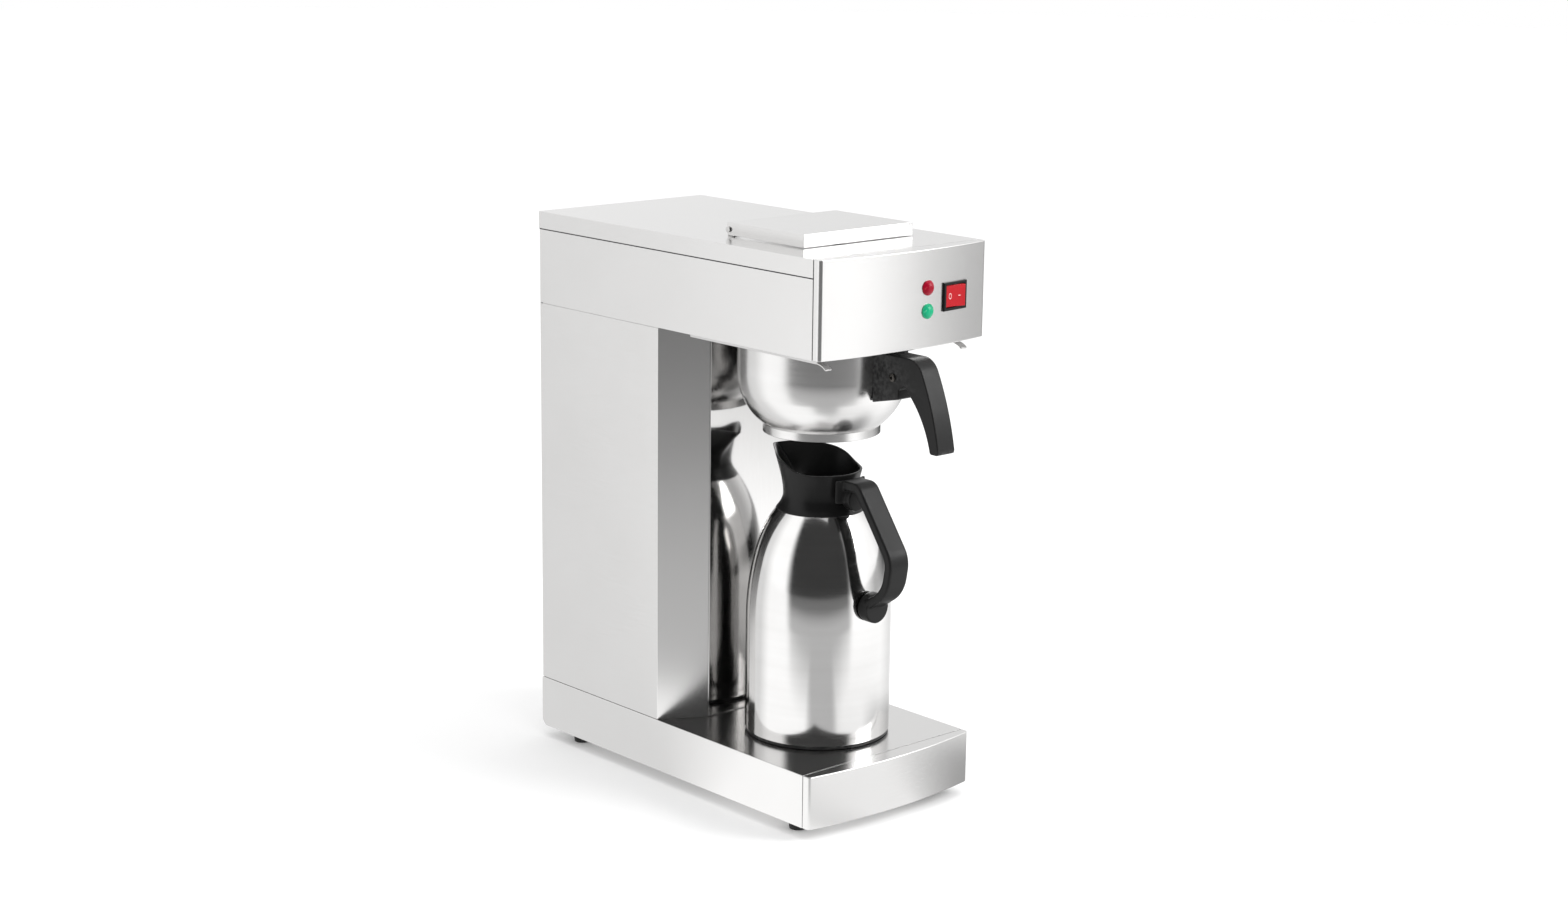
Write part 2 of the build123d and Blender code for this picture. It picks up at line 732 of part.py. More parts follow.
def make_controls():
    half = tank_width / 2
    middle = tank_rear_depth + tank_depth / 2
    stat = block(half, half + 12, middle - 16, middle + 16, 240, 262)
    stat += Pos(half + 14, depth(middle), 251) * Rot(0, 90, 0) * Cylinder(5, 4)
    keep("tank_thermostat", stat)
    cutout = Pos(-half - 4, depth(middle), 300) * Rot(0, 90, 0) * Cylinder(9, 8)
    cutout += block(-half - 13, -half - 8, middle - 3, middle + 3, 294, 306)
    keep("high_limit_cutout", cutout)

    wall = column_width / 2 - sheet
    terminal = block(wall - 13, wall, middle - 22, middle + 22, 130, 146)
    for step in range(4):
        d = middle - 16.5 + 11 * step
        terminal -= block(wall - 14, wall - 6, d - 4, d + 4, 141, 147)
    keep("terminal_block", terminal)

    x = wall - 6.5
    z = head_top - switch_drop
    switch_rear = head_corner_depth + head_bow - switch_body_depth - 8
    route = FilletPolyline(
        (x, depth(middle - 16.5), 146 + fit_gap),
        (x, depth(middle - 16.5), z),
        (x, depth(switch_rear - 36), z),
        (switch_x, depth(switch_rear - 20), z),
        (switch_x, depth(switch_rear), z),
        radius=8.0,
    )
    start = Plane(origin=route @ 0, z_dir=route % 0)
    keep("wiring_loom", sweep(start * Circle(2.6), path=route))


# ---------------------------------------------------------------- sprayhead and rails
def make_spray():
    low = plate_bottom - spray_drop
    r = spray_radius
    head = rod(0, brew_depth, low, plate_bottom, r)
    head -= rod(0, brew_depth, low + spray_sheet, plate_bottom - spray_sheet, r - spray_sheet)
    head += rod(0, brew_depth, plate_bottom - spray_sheet, plate_top + nut_height + neck_stub, pipe_radius)
    head -= rod(0, brew_depth, low + spray_sheet, plate_top + nut_height + 2 * neck_stub, pipe_bore)
    for ring, count in ((0, 1), (9.5, 6), (19, 12)):
        for step in range(count):
            turn = radians(360 * step / count)
            head -= rod(ring * cos(turn), brew_depth + ring * sin(turn), low - seam, low + 1.5 * spray_sheet,
                        spray_hole)
    keep("sprayhead", head)
    hexagon = RegularPolygon(nut_flats / 2, 6, major_radius=False) - Circle(pipe_radius + fit_gap)
    keep("sprayhead_nut", Pos(0, brew_y, 0) * prism(hexagon, plate_top, plate_top + nut_height))

    for side, name in ((-1, "funnel_rail_left"), (1, "funnel_rail_right")):
        low, high = sorted((side * rail_web, side * (rail_web + sheet)))
        rail = block(low, high, rail_rear_depth, rail_front_depth, shelf_bottom, plate_bottom)
        low, high = sorted((side * rail_web, side * rail_outer))
        rail += block(low, high, rail_rear_depth, rail_front_depth, plate_bottom - sheet, plate_bottom)
        low, high = sorted((side * rail_inner, side * (rail_web + sheet)))
        tip = shelf_top - rail_tip_drop
        half_way = (rail_front_depth + rail_tip_depth) / 2
        rail += extruded_side(
            [
                Line((rail_rear_depth, shelf_top), (rail_front_depth, shelf_top)),
                ThreePointArc((rail_front_depth, shelf_top), (half_way, shelf_top - rail_tip_drop * 0.27),
                              (rail_tip_depth, tip)),
                Line((rail_tip_depth, tip), (rail_tip_depth - sheet / 2, tip - sheet)),
                ThreePointArc((rail_tip_depth - sheet / 2, tip - sheet),
                              (half_way - sheet / 4, shelf_top - sheet - rail_tip_drop * 0.27),
                              (rail_front_depth, shelf_bottom)),
                Line((rail_front_depth, shelf_bottom), (rail_rear_depth, shelf_bottom)),
                Line((rail_rear_depth, shelf_bottom), (rail_rear_depth, shelf_top)),
            ],
            low,
            high,
        )
        for d in rail_screw_depths:
            rail -= rod(side * rail_screw_x(), d, plate_bottom - 2 * sheet, plate_bottom + seam,
                        screw_radius + hole_clearance)
        keep(name, rail)


# ---------------------------------------------------------------- brew funnel
def make_funnel():
    r = funnel_radius
    w = funnel_wall
    straight = rim_bottom - funnel_straight_end
    bowl_low = rim_bottom - funnel_bowl_end
    foot_low = rim_bottom - funnel_foot_drop
    foot = funnel_foot_radius
    mid_r = r - funnel_mid[0]
    mid_z = straight - funnel_mid[1]
    floor = bowl_low + w
    cone_r = funnel_drain + drain_cone[0]
    cone_top = floor - drain_fall
    cone_low = cone_top - drain_cone[1]
    pipe_low = foot_low + seam
    outline = [
        Line((funnel_rim_radius, rim_bottom), (funnel_rim_radius, rim_top)),
        Line((funnel_rim_radius, rim_top), (r - w, rim_top)),
        Line((r - w, rim_top), (r - w, straight)),
        ThreePointArc((r - w, straight), (mid_r - w * 0.9, mid_z + w * 0.4), (foot - w, floor)),
        Line((foot - w, floor), (cone_r, cone_top)),
        Line((cone_r, cone_top), (funnel_drain, cone_low)),
        Line((funnel_drain, cone_low), (funnel_drain, pipe_low)),
        Line((funnel_drain, pipe_low), (funnel_drain + w, pipe_low)),
        Line((funnel_drain + w, pipe_low), (funnel_drain + w, cone_low - w)),
        Line((funnel_drain + w, cone_low - w), (foot - w, floor - 1.2 * w)),
        Line((foot - w, floor - 1.2 * w), (foot - w, foot_low)),
        Line((foot - w, foot_low), (foot, foot_low)),
        Line((foot, foot_low), (foot, bowl_low)),
        ThreePointArc((foot, bowl_low), (mid_r, mid_z), (r, straight)),
        Line((r, straight), (r, rim_bottom)),
        Line((r, rim_bottom), (funnel_rim_radius, rim_bottom)),
    ]
    keep("funnel_bowl", turned(outline, 0, brew_y))

    rest_z = floor + rest_rise
    rest = rod(0, brew_depth, rest_z, rest_z + rest_sheet, foot - rest_inset)
    for ring, count in rest_rings:
        for step in range(count):
            turn = radians(360 * step / count)
            rest -= rod(ring * cos(turn), brew_depth + ring * sin(turn), rest_z - seam, rest_z + 2 * seam, rest_hole)
    leg_low = floor - 0.9 * w   # the legs reach the sloping floor
    for step in range(rest_legs):
        turn = radians(360 * step / rest_legs + 30)
        rest += rod(rest_leg_ring * cos(turn), brew_depth + rest_leg_ring * sin(turn), leg_low, rest_z,
                    rest_leg_radius)
    keep("filter_rest", rest)

    # Handle: a block on the bowl's front wall, an arch over the finger space and a hanging grip.
    front = brew_depth + r
    top = rim_bottom - grip_top_gap

    def at(place):
        return front + place[0], top - place[1]

    tip = top - grip_tip_drop
    toe = (grip_reach - grip_tip_width, tip)
    grip = extruded_side(
        [
            Line((front, top), at(grip_flat)),
            ThreePointArc(at(grip_flat), at(grip_bend), at(grip_shoulder)),
            ThreePointArc(at(grip_shoulder), at(grip_back), (grip_reach, tip + grip_tip_corner[1])),
            Line((grip_reach, tip + grip_tip_corner[1]), (grip_reach - grip_tip_corner[0], tip)),
            Line((grip_reach - grip_tip_corner[0], tip), toe),
            ThreePointArc(toe, at(grip_palm), at(arch_front)),
            ThreePointArc(at(arch_front), at(arch_crown), at(arch_rear)),
            Line(at(arch_rear), at(arch_foot)),
            Line(at(arch_foot), (front, top - bracket_drop)),
            Line((front, top - bracket_drop), (front, top)),
        ],
        -grip_width / 2,
        grip_width / 2,
    )
    block_end = front + arch_foot[0]
    for side in (-1, 1):
        low, high = sorted((side * bracket_width / 2, side * grip_width))
        grip -= block(low, high, brew_depth, block_end - seam, top - 2 * bracket_drop, top - bracket_cheek_drop)
    grip = fillet(grip.edges().filter_by(GeomType.CIRCLE).sort_by(Axis.Y)[:4], grip_edge)
    body = block(-bracket_width / 2, bracket_width / 2, front - 8, front, top - bracket_drop + 0.8, top)
    body -= Pos(0, brew_y, top - bracket_drop) * Cylinder(r + fit_gap, 4 * bracket_drop)
    grip += body
    bolt_depth, bolt_z = at(bolt_place)
    bolt_axis = Pos(0, depth(bolt_depth), bolt_z)
    grip -= bolt_axis * Rot(0, 90, 0) * Cylinder(bolt_radius + fit_gap, 2 * grip_width)
    keep("funnel_handle", grip)
    bolt = Rot(0, 90, 0) * Cylinder(bolt_radius, grip_width - 1)
    bolt += Pos(-(grip_width + bolt_head_height) / 2, 0, 0) * Rot(0, 90, 0) * Cylinder(bolt_head_radius,
                                                                                       bolt_head_height)
    bolt += Pos((grip_width + bolt_nut_height) / 2, 0, 0) * Rot(0, 90, 0) * extrude(
        RegularPolygon(bolt_nut_radius, 6), bolt_nut_height / 2, both=True)
    keep("handle_bolt", bolt_axis * bolt)


# ---------------------------------------------------------------- carafe
def carafe_side(inset, start):
    """Body outline from height start up to the neck, inset from the outside."""
    z = carafe_bottom
    a = (carafe_radius - inset, z + carafe_straight)
    b = (shoulder_radius - inset, z + shoulder_height - 0.25 * inset)
    c = (neck_radius - inset * 0.85, z + neck_height - 0.6 * inset)
    lower = TangentArc(a, b, tangent=(0, 1))
    upper = TangentArc(b, c, tangent=lower % 1)
    return [Line((a[0], start), a), lower, upper], c


def make_carafe():
    z = carafe_bottom
    w = carafe_wall
    lift = carafe_ring
    outer, top_out = carafe_side(0, z + lift)
    inner, top_in = carafe_side(w, z + lift)
    shell = turned(outer + inner + [Line(top_out, top_in),
                                    Line((carafe_radius, z + lift), (carafe_radius - w, z + lift))], 0, brew_y)
    keep("carafe_shell", shell)

    # Foot: a black ring under the wall and a steel bottom disc held in it.
    ring_r = carafe_radius - foot_ring_inset
    cap_r = ring_r - foot_ring_width
    keep("carafe_foot_ring", turned(ring_of_lines([(cap_r, z), (ring_r, z), (ring_r, z + lift), (cap_r, z + lift)]),
                                    0, brew_y))
    keep("carafe_bottom_cap", rod(0, brew_depth, z + cap_rise, z + cap_rise + w, cap_r - fit_gap))

    # Vacuum liner: a second bottle inside, open at the neck.
    gap = vacuum_gap
    low = z + lift + gap
    neck_top = z + neck_height + liner_rise
    liner_out, liner_top = carafe_side(gap, low)
    liner_in, liner_in_top = carafe_side(gap + w, low + w)
    neck_r = bore_radius + w
    cone_out = liner_top[1] + liner_cone
    cone_in = liner_in_top[1] + liner_cone
    liner = turned(
        liner_out + liner_in
        + [Line((carafe_radius - gap, low), (0, low)), Line((0, low), (0, low + w)),
           Line((0, low + w), (carafe_radius - gap - w, low + w)),
           Line(liner_top, (neck_r, cone_out)), Line((neck_r, cone_out), (neck_r, neck_top)),
           Line((neck_r, neck_top), (bore_radius, neck_top)),
           Line((bore_radius, neck_top), (bore_radius, cone_in)),
           Line((bore_radius, cone_in), liner_in_top)],
        0,
        brew_y,
    )
    keep("carafe_liner", liner)
    make_collar()
    make_stopper(neck_top)
    make_carafe_handle()


def beak_face(radius, reach, tip):
    """Plan outline of the collar: a circle drawn out to a beak at the rear."""
    return make_hull(Circle(radius).edges() + (Pos(0, reach - tip) * Circle(tip)).edges())


def make_collar():
    z = carafe_bottom
    low = z + neck_height
    waist = z + collar_waist_height
    rim = z + rim_rear_height
    w = collar_wall
    r = collar_waist_radius
    rise = rim - waist
    levels = [
        (low, neck_radius, neck_radius + 0.2),
        (low + 0.45 * (waist - low), r + collar_foot_flare, r + collar_foot_flare + beak_growth[0]),
        (waist, r, r + beak_growth[1]),
        (waist + 0.3 * rise, r + collar_growth[0], r + beak_growth[2]),
        (waist + 0.62 * rise, r + collar_growth[1], r + beak_growth[3]),
        (rim, collar_rim_radius, spout_reach),
    ]
    outer_faces = [Pos(0, brew_y, level) * beak_face(r, reach, spout_tip_radius) for level, r, reach in levels]
    collar = loft(outer_faces)
    mouth_low = waist + mouth_rise
    inner_levels = [(level, r - w, reach - spout_inset * w) for level, r, reach in levels if level > mouth_low]
    inner_levels = [(mouth_low, bore_radius + 0.8, bore_radius + 1.6)] + inner_levels
    scale_up = inner_levels[-1]
    inner_levels[-1] = (scale_up[0] + fit_gap, scale_up[1], scale_up[2])
    inner_faces = [Pos(0, brew_y, level) * beak_face(r, reach, spout_tip_radius * 0.7)
                   for level, r, reach in inner_levels]
    collar -= loft(inner_faces)
    collar -= rod(0, brew_depth, low - seam, mouth_low + seam, bore_radius + carafe_wall + fit_gap)

    # Trim the rim: level and low over the handle, rising to the rear, falling a little to the tip.
    front_z = z + rim_front_height
    tip_z = z + spout_tip_height
    axis = brew_depth
    cut = extruded_side(
        [
            Line((axis + 80, rim + 20), (axis + 80, front_z)),
            Line((axis + 80, front_z), (axis + 12, front_z)),
            ThreePointArc((axis + 12, front_z), (axis + 1, front_z + 2.4), (axis - 10, front_z + 11)),
            ThreePointArc((axis - 10, front_z + 11), (axis - 34, rim - 0.6), (axis - 80, tip_z - 6)),
            Line((axis - 80, tip_z - 6), (axis - 80, rim + 20)),
            Line((axis - 80, rim + 20), (axis + 80, rim + 20)),
        ],
        -80,
        80,
    )
    collar -= cut
    keep("carafe_collar", collar)


def make_stopper(neck_top):
    r = bore_radius - stopper_clearance
    top = neck_top + stopper_rise
    low = top - stopper_height
    dish = (r - stopper_lip - stopper_dish[0], top - stopper_dish[1])
    throat = (stopper_hole + stopper_funnel[0], top - stopper_funnel[1])
    outline = ring_of_lines(
        [(stopper_hole, low), (r - stopper_toe[0], low), (r, low + stopper_toe[1]), (r, top), (r - stopper_lip, top),
         dish, throat, (stopper_hole, top - stopper_well)]
    )
    stopper = turned(outline, 0, brew_y)
    keep("brew_through_stopper", stopper)


def make_carafe_handle():
    z = carafe_bottom
    side = brew_depth + carafe_radius
    neck = brew_depth + neck_radius
    outer = side + strap_clear
    t = strap_thickness
    top = z + strap_top
    knee = z + strap_knee
    strap_route = FilletPolyline(
        (neck - 2.3, top - t / 2),
        (neck + 18.2, top - t / 2),
        (outer - t / 2, knee + 6),
        (outer - 9.5, knee - 24),
        (side + 0.5, z + boss_height),
        radius=strap_bends,
    )
    plane = Plane(origin=(0, rear_y, 0), x_dir=(0, -1, 0), z_dir=(-1, 0, 0))
    path = plane * strap_route
    start = Plane(origin=path @ 0, x_dir=(1, 0, 0), z_dir=path % 0)
    section = RectangleRounded(strap_width, t, strap_corner)
    strap = sweep(start * section, path=path)
    boss = Pos(0, depth(side + boss_length / 4), z + boss_height) * Rot(90, 0, 0) * Cylinder(boss_radius, boss_length)
    boss = fillet(boss.edges().sort_by(Axis.Y)[0], 2.0)
    body_room = Pos(0, brew_y, z + boss_height) * Cylinder(carafe_radius + fit_gap, 6 * boss_radius)
    lower = (boss + strap) - body_room
    saddle = rod(0, brew_depth, z + saddle_low, z + saddle_high, neck_radius + saddle_thickness)
    saddle &= block(-saddle_width / 2, saddle_width / 2, brew_depth, neck + 2 * saddle_thickness, z + saddle_low,
                    z + saddle_high)
    disc_depth = neck + disc_length / 2 - 1.3
    disc = Pos(0, depth(disc_depth), z + disc_height) * Rot(90, 0, 0) * Cylinder(disc_radius, disc_length)
    neck_room = rod(0, brew_depth, z + neck_height, z + strap_top + strap_thickness, neck_radius + fit_gap)
    handle = (lower + saddle + disc) - neck_room
    keep("carafe_handle", handle)


# ---------------------------------------------------------------- switch and lamps
def make_switch():
    place = on_front(switch_x, head_top - switch_drop)
    opening_x = key_width + 2 * key_gap
    opening_z = key_height + 2 * (key_gap / 3)
    bezel = Pos(0, -switch_bezel / 2, 0) * Box(switch_width, switch_bezel, switch_height)
    front_edges = bezel.edges().group_by(Axis.Y)[0]
    bezel = fillet(front_edges, bezel_edge)
    body = Pos(0, switch_body_depth / 2, 0) * Box(switch_body_width, switch_body_depth, switch_body_height)
    housing = bezel + body
    housing -= Pos(0, switch_well / 2 - switch_bezel, 0) * Box(opening_x, switch_well + switch_bezel, opening_z)
    housing -= Pos(0, -switch_bezel, 0) * Box(opening_x, 2 * switch_bezel, opening_z)
    for x in (-tab_x, tab_x):
        housing += Pos(x, switch_body_depth + tab_size[1] / 2, 0) * Box(*tab_size)
    keep("switch_housing", place * housing)

    half = key_width / 2
    key = extrude(
        make_face(
            Polyline((-half, -key_wing), (0, -key_crest), (half, -key_wing), (half, key_shoulder),
                     (half - key_taper, key_root), (key_taper - half, key_root), (-half, key_shoulder), close=True)
        ),
        key_height / 2,
        both=True,
    )
    tilt = Pos(0, key_pivot, 0) * Rot(0, 0, -key_tilt) * Pos(0, -key_pivot, 0)
    keep("switch_rocker", place * tilt * key)


def make_lamps():
    bodies = Part()
    for name, drop in lamp_drops.items():
        place = on_front(lamp_x, head_top - drop) * Rot(90, 0, 0)
        lens = Pos(0, 0, lamp_height / 2) * Cylinder(lamp_radius, lamp_height)
        lens = fillet(lens.edges().sort_by(Axis.Z)[-1], lamp_height - lamp_flange)
        keep(name, place * lens)
        stem = Pos(0, 0, -lamp_body_depth / 2) * Cylinder(lamp_body_radius, lamp_body_depth)
        nut_ring = Cylinder(lamp_nut_radius, lamp_nut_height) - Cylinder(lamp_body_radius, 2 * lamp_nut_height)
        nut = Pos(0, 0, -lamp_nut_gap - lamp_nut_height / 2) * nut_ring
        bodies += place * (stem + nut)
    keep("lamp_bodies", bodies)


make_base()
make_column()
make_rear()
make_head()
make_lid()
make_tank()
make_controls()
make_spray()
make_funnel()
make_carafe()
make_switch()
make_lamps()

os.makedirs("parts", exist_ok=True)
for name, shape in made.items():
    export_step(shape, os.path.join("parts", name + ".step"))
    print(name, len(shape.solids()), round(sum(s.volume for s in shape.solids())))

everything = Compound(children=[Compound(shape.solids()) for shape in made.values()]).bounding_box()
print("box", everything.min, everything.max)
print("rear_y", rear_y, "brew_y", brew_y, "pivot", pivot_y, pivot_z)
pivot = (on_front(switch_x, head_top - switch_drop) * Pos(0, key_pivot, 0)).position
print("switch pivot", pivot)
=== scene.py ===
import bmesh
import bpy
import json
import math
from mathutils import Matrix, Vector


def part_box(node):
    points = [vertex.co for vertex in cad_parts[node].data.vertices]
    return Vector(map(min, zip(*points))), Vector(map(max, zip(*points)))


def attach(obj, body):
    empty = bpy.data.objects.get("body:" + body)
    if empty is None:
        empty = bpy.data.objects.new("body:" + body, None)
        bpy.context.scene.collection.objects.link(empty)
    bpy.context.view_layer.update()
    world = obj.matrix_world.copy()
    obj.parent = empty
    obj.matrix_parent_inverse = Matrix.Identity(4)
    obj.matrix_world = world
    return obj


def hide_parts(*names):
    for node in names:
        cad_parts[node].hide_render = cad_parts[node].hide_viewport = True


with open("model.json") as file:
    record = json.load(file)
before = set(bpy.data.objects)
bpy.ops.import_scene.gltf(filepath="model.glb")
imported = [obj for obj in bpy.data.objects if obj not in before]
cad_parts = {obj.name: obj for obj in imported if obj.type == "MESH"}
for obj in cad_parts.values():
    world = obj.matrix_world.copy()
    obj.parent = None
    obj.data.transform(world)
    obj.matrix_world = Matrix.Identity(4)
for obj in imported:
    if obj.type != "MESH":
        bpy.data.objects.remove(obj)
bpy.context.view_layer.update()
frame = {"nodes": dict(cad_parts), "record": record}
cadNodes = frame["nodes"]
slotOf = {part["node"]: part["material_slot"] for part in frame["record"]["subparts"]}
bodyOf = {node: body for body, members in frame["record"]["behaviour"]["bodies"].items() for node in members}
mm = 0.001                      # sizes of the object are in millimetres, the stage's in metres
weld = 0.003 * mm               # points closer than this are one point
print("frame loaded,", len(cadNodes), "nodes")


# small helpers for points and meshes

def corners(node):              # lowest and highest corner of a node
    low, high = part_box(node)
    return low / mm, high / mm


def middle(node):
    low, high = corners(node)
    return (low + high) / 2


def linked(name, data):
    thing = bpy.data.objects.new(name, data)
    bpy.context.scene.collection.objects.link(thing)
    return thing


def meshPiece(name, points, faces, edges=()):
    mesh = bpy.data.meshes.new(name)
    mesh.from_pydata([[c * mm for c in point] for point in points], list(edges), faces)
    return linked(name, mesh)


def pieceFrom(work, name):
    mesh = bpy.data.meshes.new(name)
    work.to_mesh(mesh)
    work.free()
    return linked(name, mesh)


def settle(piece):              # what the modifiers make becomes the mesh
    graph = bpy.context.evaluated_depsgraph_get()
    mesh = bpy.data.meshes.new_from_object(piece.evaluated_get(graph))
    piece.modifiers.clear()
    piece.data = mesh
    return piece


def weldedCopy(piece):          # a bmesh of the piece, with points that coincide made one
    work = bmesh.new()
    work.from_mesh(piece.data)
    bmesh.ops.remove_doubles(work, verts=work.verts, dist=weld)
    return work


def closeUp(piece, turnOut=True):
    work = weldedCopy(piece)
    bmesh.ops.dissolve_degenerate(work, edges=work.edges, dist=weld / 3)
    if turnOut:
        bmesh.ops.recalc_face_normals(work, faces=work.faces)
    work.to_mesh(piece.data)
    work.free()
    return piece


def shade(piece, angle=34, weighted=True):
    piece.data.shade_smooth()
    piece.data.set_sharp_from_angle(angle=math.radians(angle))
    if weighted:
        even = piece.modifiers.new("even", "WEIGHTED_NORMAL")
        even.keep_sharp = True
        settle(piece)
    return piece


def joined(name, pieces):
    work = bmesh.new()
    for piece in pieces:
        work.from_mesh(piece.data)
        bpy.data.objects.remove(piece)
    return pieceFrom(work, name)


def placed(piece, matrix):      # puts the place into the mesh, in millimetres
    matrix = matrix.copy()
    matrix.translation = matrix.translation * mm
    piece.data.transform(matrix)
    return piece


def cut(piece, cutter):
    step = piece.modifiers.new("cut", "BOOLEAN")
    step.object = cutter
    step.operation = "DIFFERENCE"
    step.solver = "EXACT"
    settle(piece)
    bpy.data.objects.remove(cutter)
    return piece


def bevelled(piece, width, segments=3, angle=35):
    bevel = piece.modifiers.new("bevel", "BEVEL")
    bevel.width = width * mm
    bevel.segments = segments
    bevel.limit_method = "ANGLE"
    bevel.angle_limit = math.radians(angle)
    return settle(piece)


def standIn(piece, *stands):    # rides, takes the finish and the slot of the nodes it stands for
    piece.data.materials.clear()
    piece.data.materials.append(finishes[slotOf[stands[0]]])
    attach(piece, bodyOf[stands[0]])
    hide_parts(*stands)
    return piece


def addOn(piece, node, slot, finish=None):      # a detail that rides with a node and replaces nothing
    piece.data.materials.clear()
    piece.data.materials.append(finish or finishes[slot])
    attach(piece, bodyOf[node])
    return piece


def box(name, low, high):
    xs, ys, zs = zip(low, high)
    points = [(x, y, z) for z in zs for y in ys for x in xs]
    faces = [(0, 2, 3, 1), (4, 5, 7, 6), (0, 1, 5, 4), (2, 6, 7, 3), (0, 4, 6, 2), (1, 3, 7, 5)]
    return meshPiece(name, points, faces)


def rodBetween(name, start, end, radius, sides=40):
    start, end = Vector(start), Vector(end)
    work = bmesh.new()
    bmesh.ops.create_cone(work, cap_ends=True, segments=sides, radius1=radius * mm, radius2=radius * mm,
                          depth=(end - start).length * mm)
    turn = (end - start).to_track_quat("Z", "Y").to_matrix().to_4x4()
    work.transform(Matrix.Translation((start + end) / 2 * mm) @ turn)
    return pieceFrom(work, name)


def prism(name, outline, low, high, across=False):      # an outline swept upwards, or from side to side
    count = len(outline)
    if across:
        points = [(x, y, z) for x in (low, high) for y, z in outline]
    else:
        points = [(x, y, z) for z in (low, high) for x, y in outline]
    faces = [(i, (i + 1) % count, (i + 1) % count + count, i + count) for i in range(count)]
    faces += [tuple(range(count))[::-1], tuple(range(count, 2 * count))]
    return closeUp(meshPiece(name, points, faces))


# outlines

def arcThrough(a, b, c, steps):                 # points of the circle through a, b and c, from a to c
    a, b, c = Vector(a), Vector(b), Vector(c)
    d = 2 * (a.x * (b.y - c.y) + b.x * (c.y - a.y) + c.x * (a.y - b.y))
    sa, sb, sc = a.length_squared, b.length_squared, c.length_squared
    centre = Vector(((sa * (b.y - c.y) + sb * (c.y - a.y) + sc * (a.y - b.y)) / d,
                     (sa * (c.x - b.x) + sb * (a.x - c.x) + sc * (b.x - a.x)) / d))
    turn = [math.atan2(p.y - centre.y, p.x - centre.x) for p in (a, b, c)]
    sweep = (turn[2] - turn[0]) % math.tau
    if (turn[1] - turn[0]) % math.tau > sweep:
        sweep -= math.tau
    radius = (a - centre).length
    return [(centre.x + radius * math.cos(turn[0] + sweep * i / steps),
             centre.y + radius * math.sin(turn[0] + sweep * i / steps)) for i in range(steps + 1)]


def leavingArc(a, heading, c, steps):           # the arc that leaves a along heading and ends at c
    a, c = Vector(a), Vector(c)
    side = Vector((-heading[1], heading[0])).normalized()
    chord = c - a
    reach = chord.length_squared / (2 * chord.dot(side))
    centre = a + side * reach
    middlePoint = centre + ((a - centre).normalized() + (c - centre).normalized()).normalized() * abs(reach)
    points = arcThrough(a, middlePoint, c, steps)
    last = Vector(points[-1]) - centre
    out = Vector((-last.y, last.x)).normalized()
    if out.dot(c - Vector(points[-2])) < 0:
        out = -out
    return points, out


def rounded(points, radii, steps):              # a line through the points with its inner corners rounded
    path = [tuple(points[0])]
    for i in range(1, len(points) - 1):
        a, b, c = (Vector(p) for p in points[i - 1:i + 2])
        radius = radii[i - 1] if isinstance(radii, (list, tuple)) else radii
        ab, cb = (a - b).normalized(), (c - b).normalized()
        angle = ab.angle(cb)
        if radius <= 0 or angle > math.pi - 0.01:
            path.append(tuple(b))
            continue
        back = min(radius / math.tan(angle / 2), 0.49 * (a - b).length, 0.49 * (c - b).length)
        radius = back * math.tan(angle / 2)
        centre = b + (ab + cb).normalized() * (radius / math.sin(angle / 2))
        start, end = b + ab * back, b + cb * back
        mid = centre + (b - centre).normalized() * radius
        path += arcThrough(start, mid, end, steps)
    return path + [tuple(points[-1])]


# Geometry Nodes

def newTree(name, inputs):
    tree = bpy.data.node_groups.new(name, "GeometryNodeTree")
    tree.interface.new_socket("Geometry", in_out="INPUT", socket_type="NodeSocketGeometry")
    for label, kind, value in inputs:
        socket = tree.interface.new_socket(label, in_out="INPUT", socket_type="NodeSocket" + kind)
        if value is not None:
            socket.default_value = value
    tree.interface.new_socket("Geometry", in_out="OUTPUT", socket_type="NodeSocketGeometry")
    return tree


def treeNode(tree, kind, links=(), **values):   # links: input name or number -> node, socket or value
    node = tree.nodes.new(kind)
    for key, value in values.items():
        setattr(node, key, value)
    for key, source in dict(links).items():
        if isinstance(source, bpy.types.Node):
            source = source.outputs[0]
        if isinstance(source, bpy.types.NodeSocket):
            tree.links.new(source, node.inputs[key])
        else:
            node.inputs[key].default_value = source
    return node


def closeTree(tree, shape, finish):     # ends a tree in real meshes with their finish
    real = treeNode(tree, "GeometryNodeRealizeInstances", {"Geometry": shape})
    finished = treeNode(tree, "GeometryNodeSetMaterial", {"Geometry": real, "Material": finish})
    treeNode(tree, "NodeGroupOutput", {"Geometry": finished})
    return tree


def runTree(piece, tree, values):
    modifier = piece.modifiers.new(tree.name, "NODES")
    modifier.node_group = tree
    for item in tree.interface.items_tree:
        if item.item_type == "SOCKET" and item.in_out == "INPUT" and item.name in values:
            modifier[item.identifier] = values[item.name]
    return settle(piece)


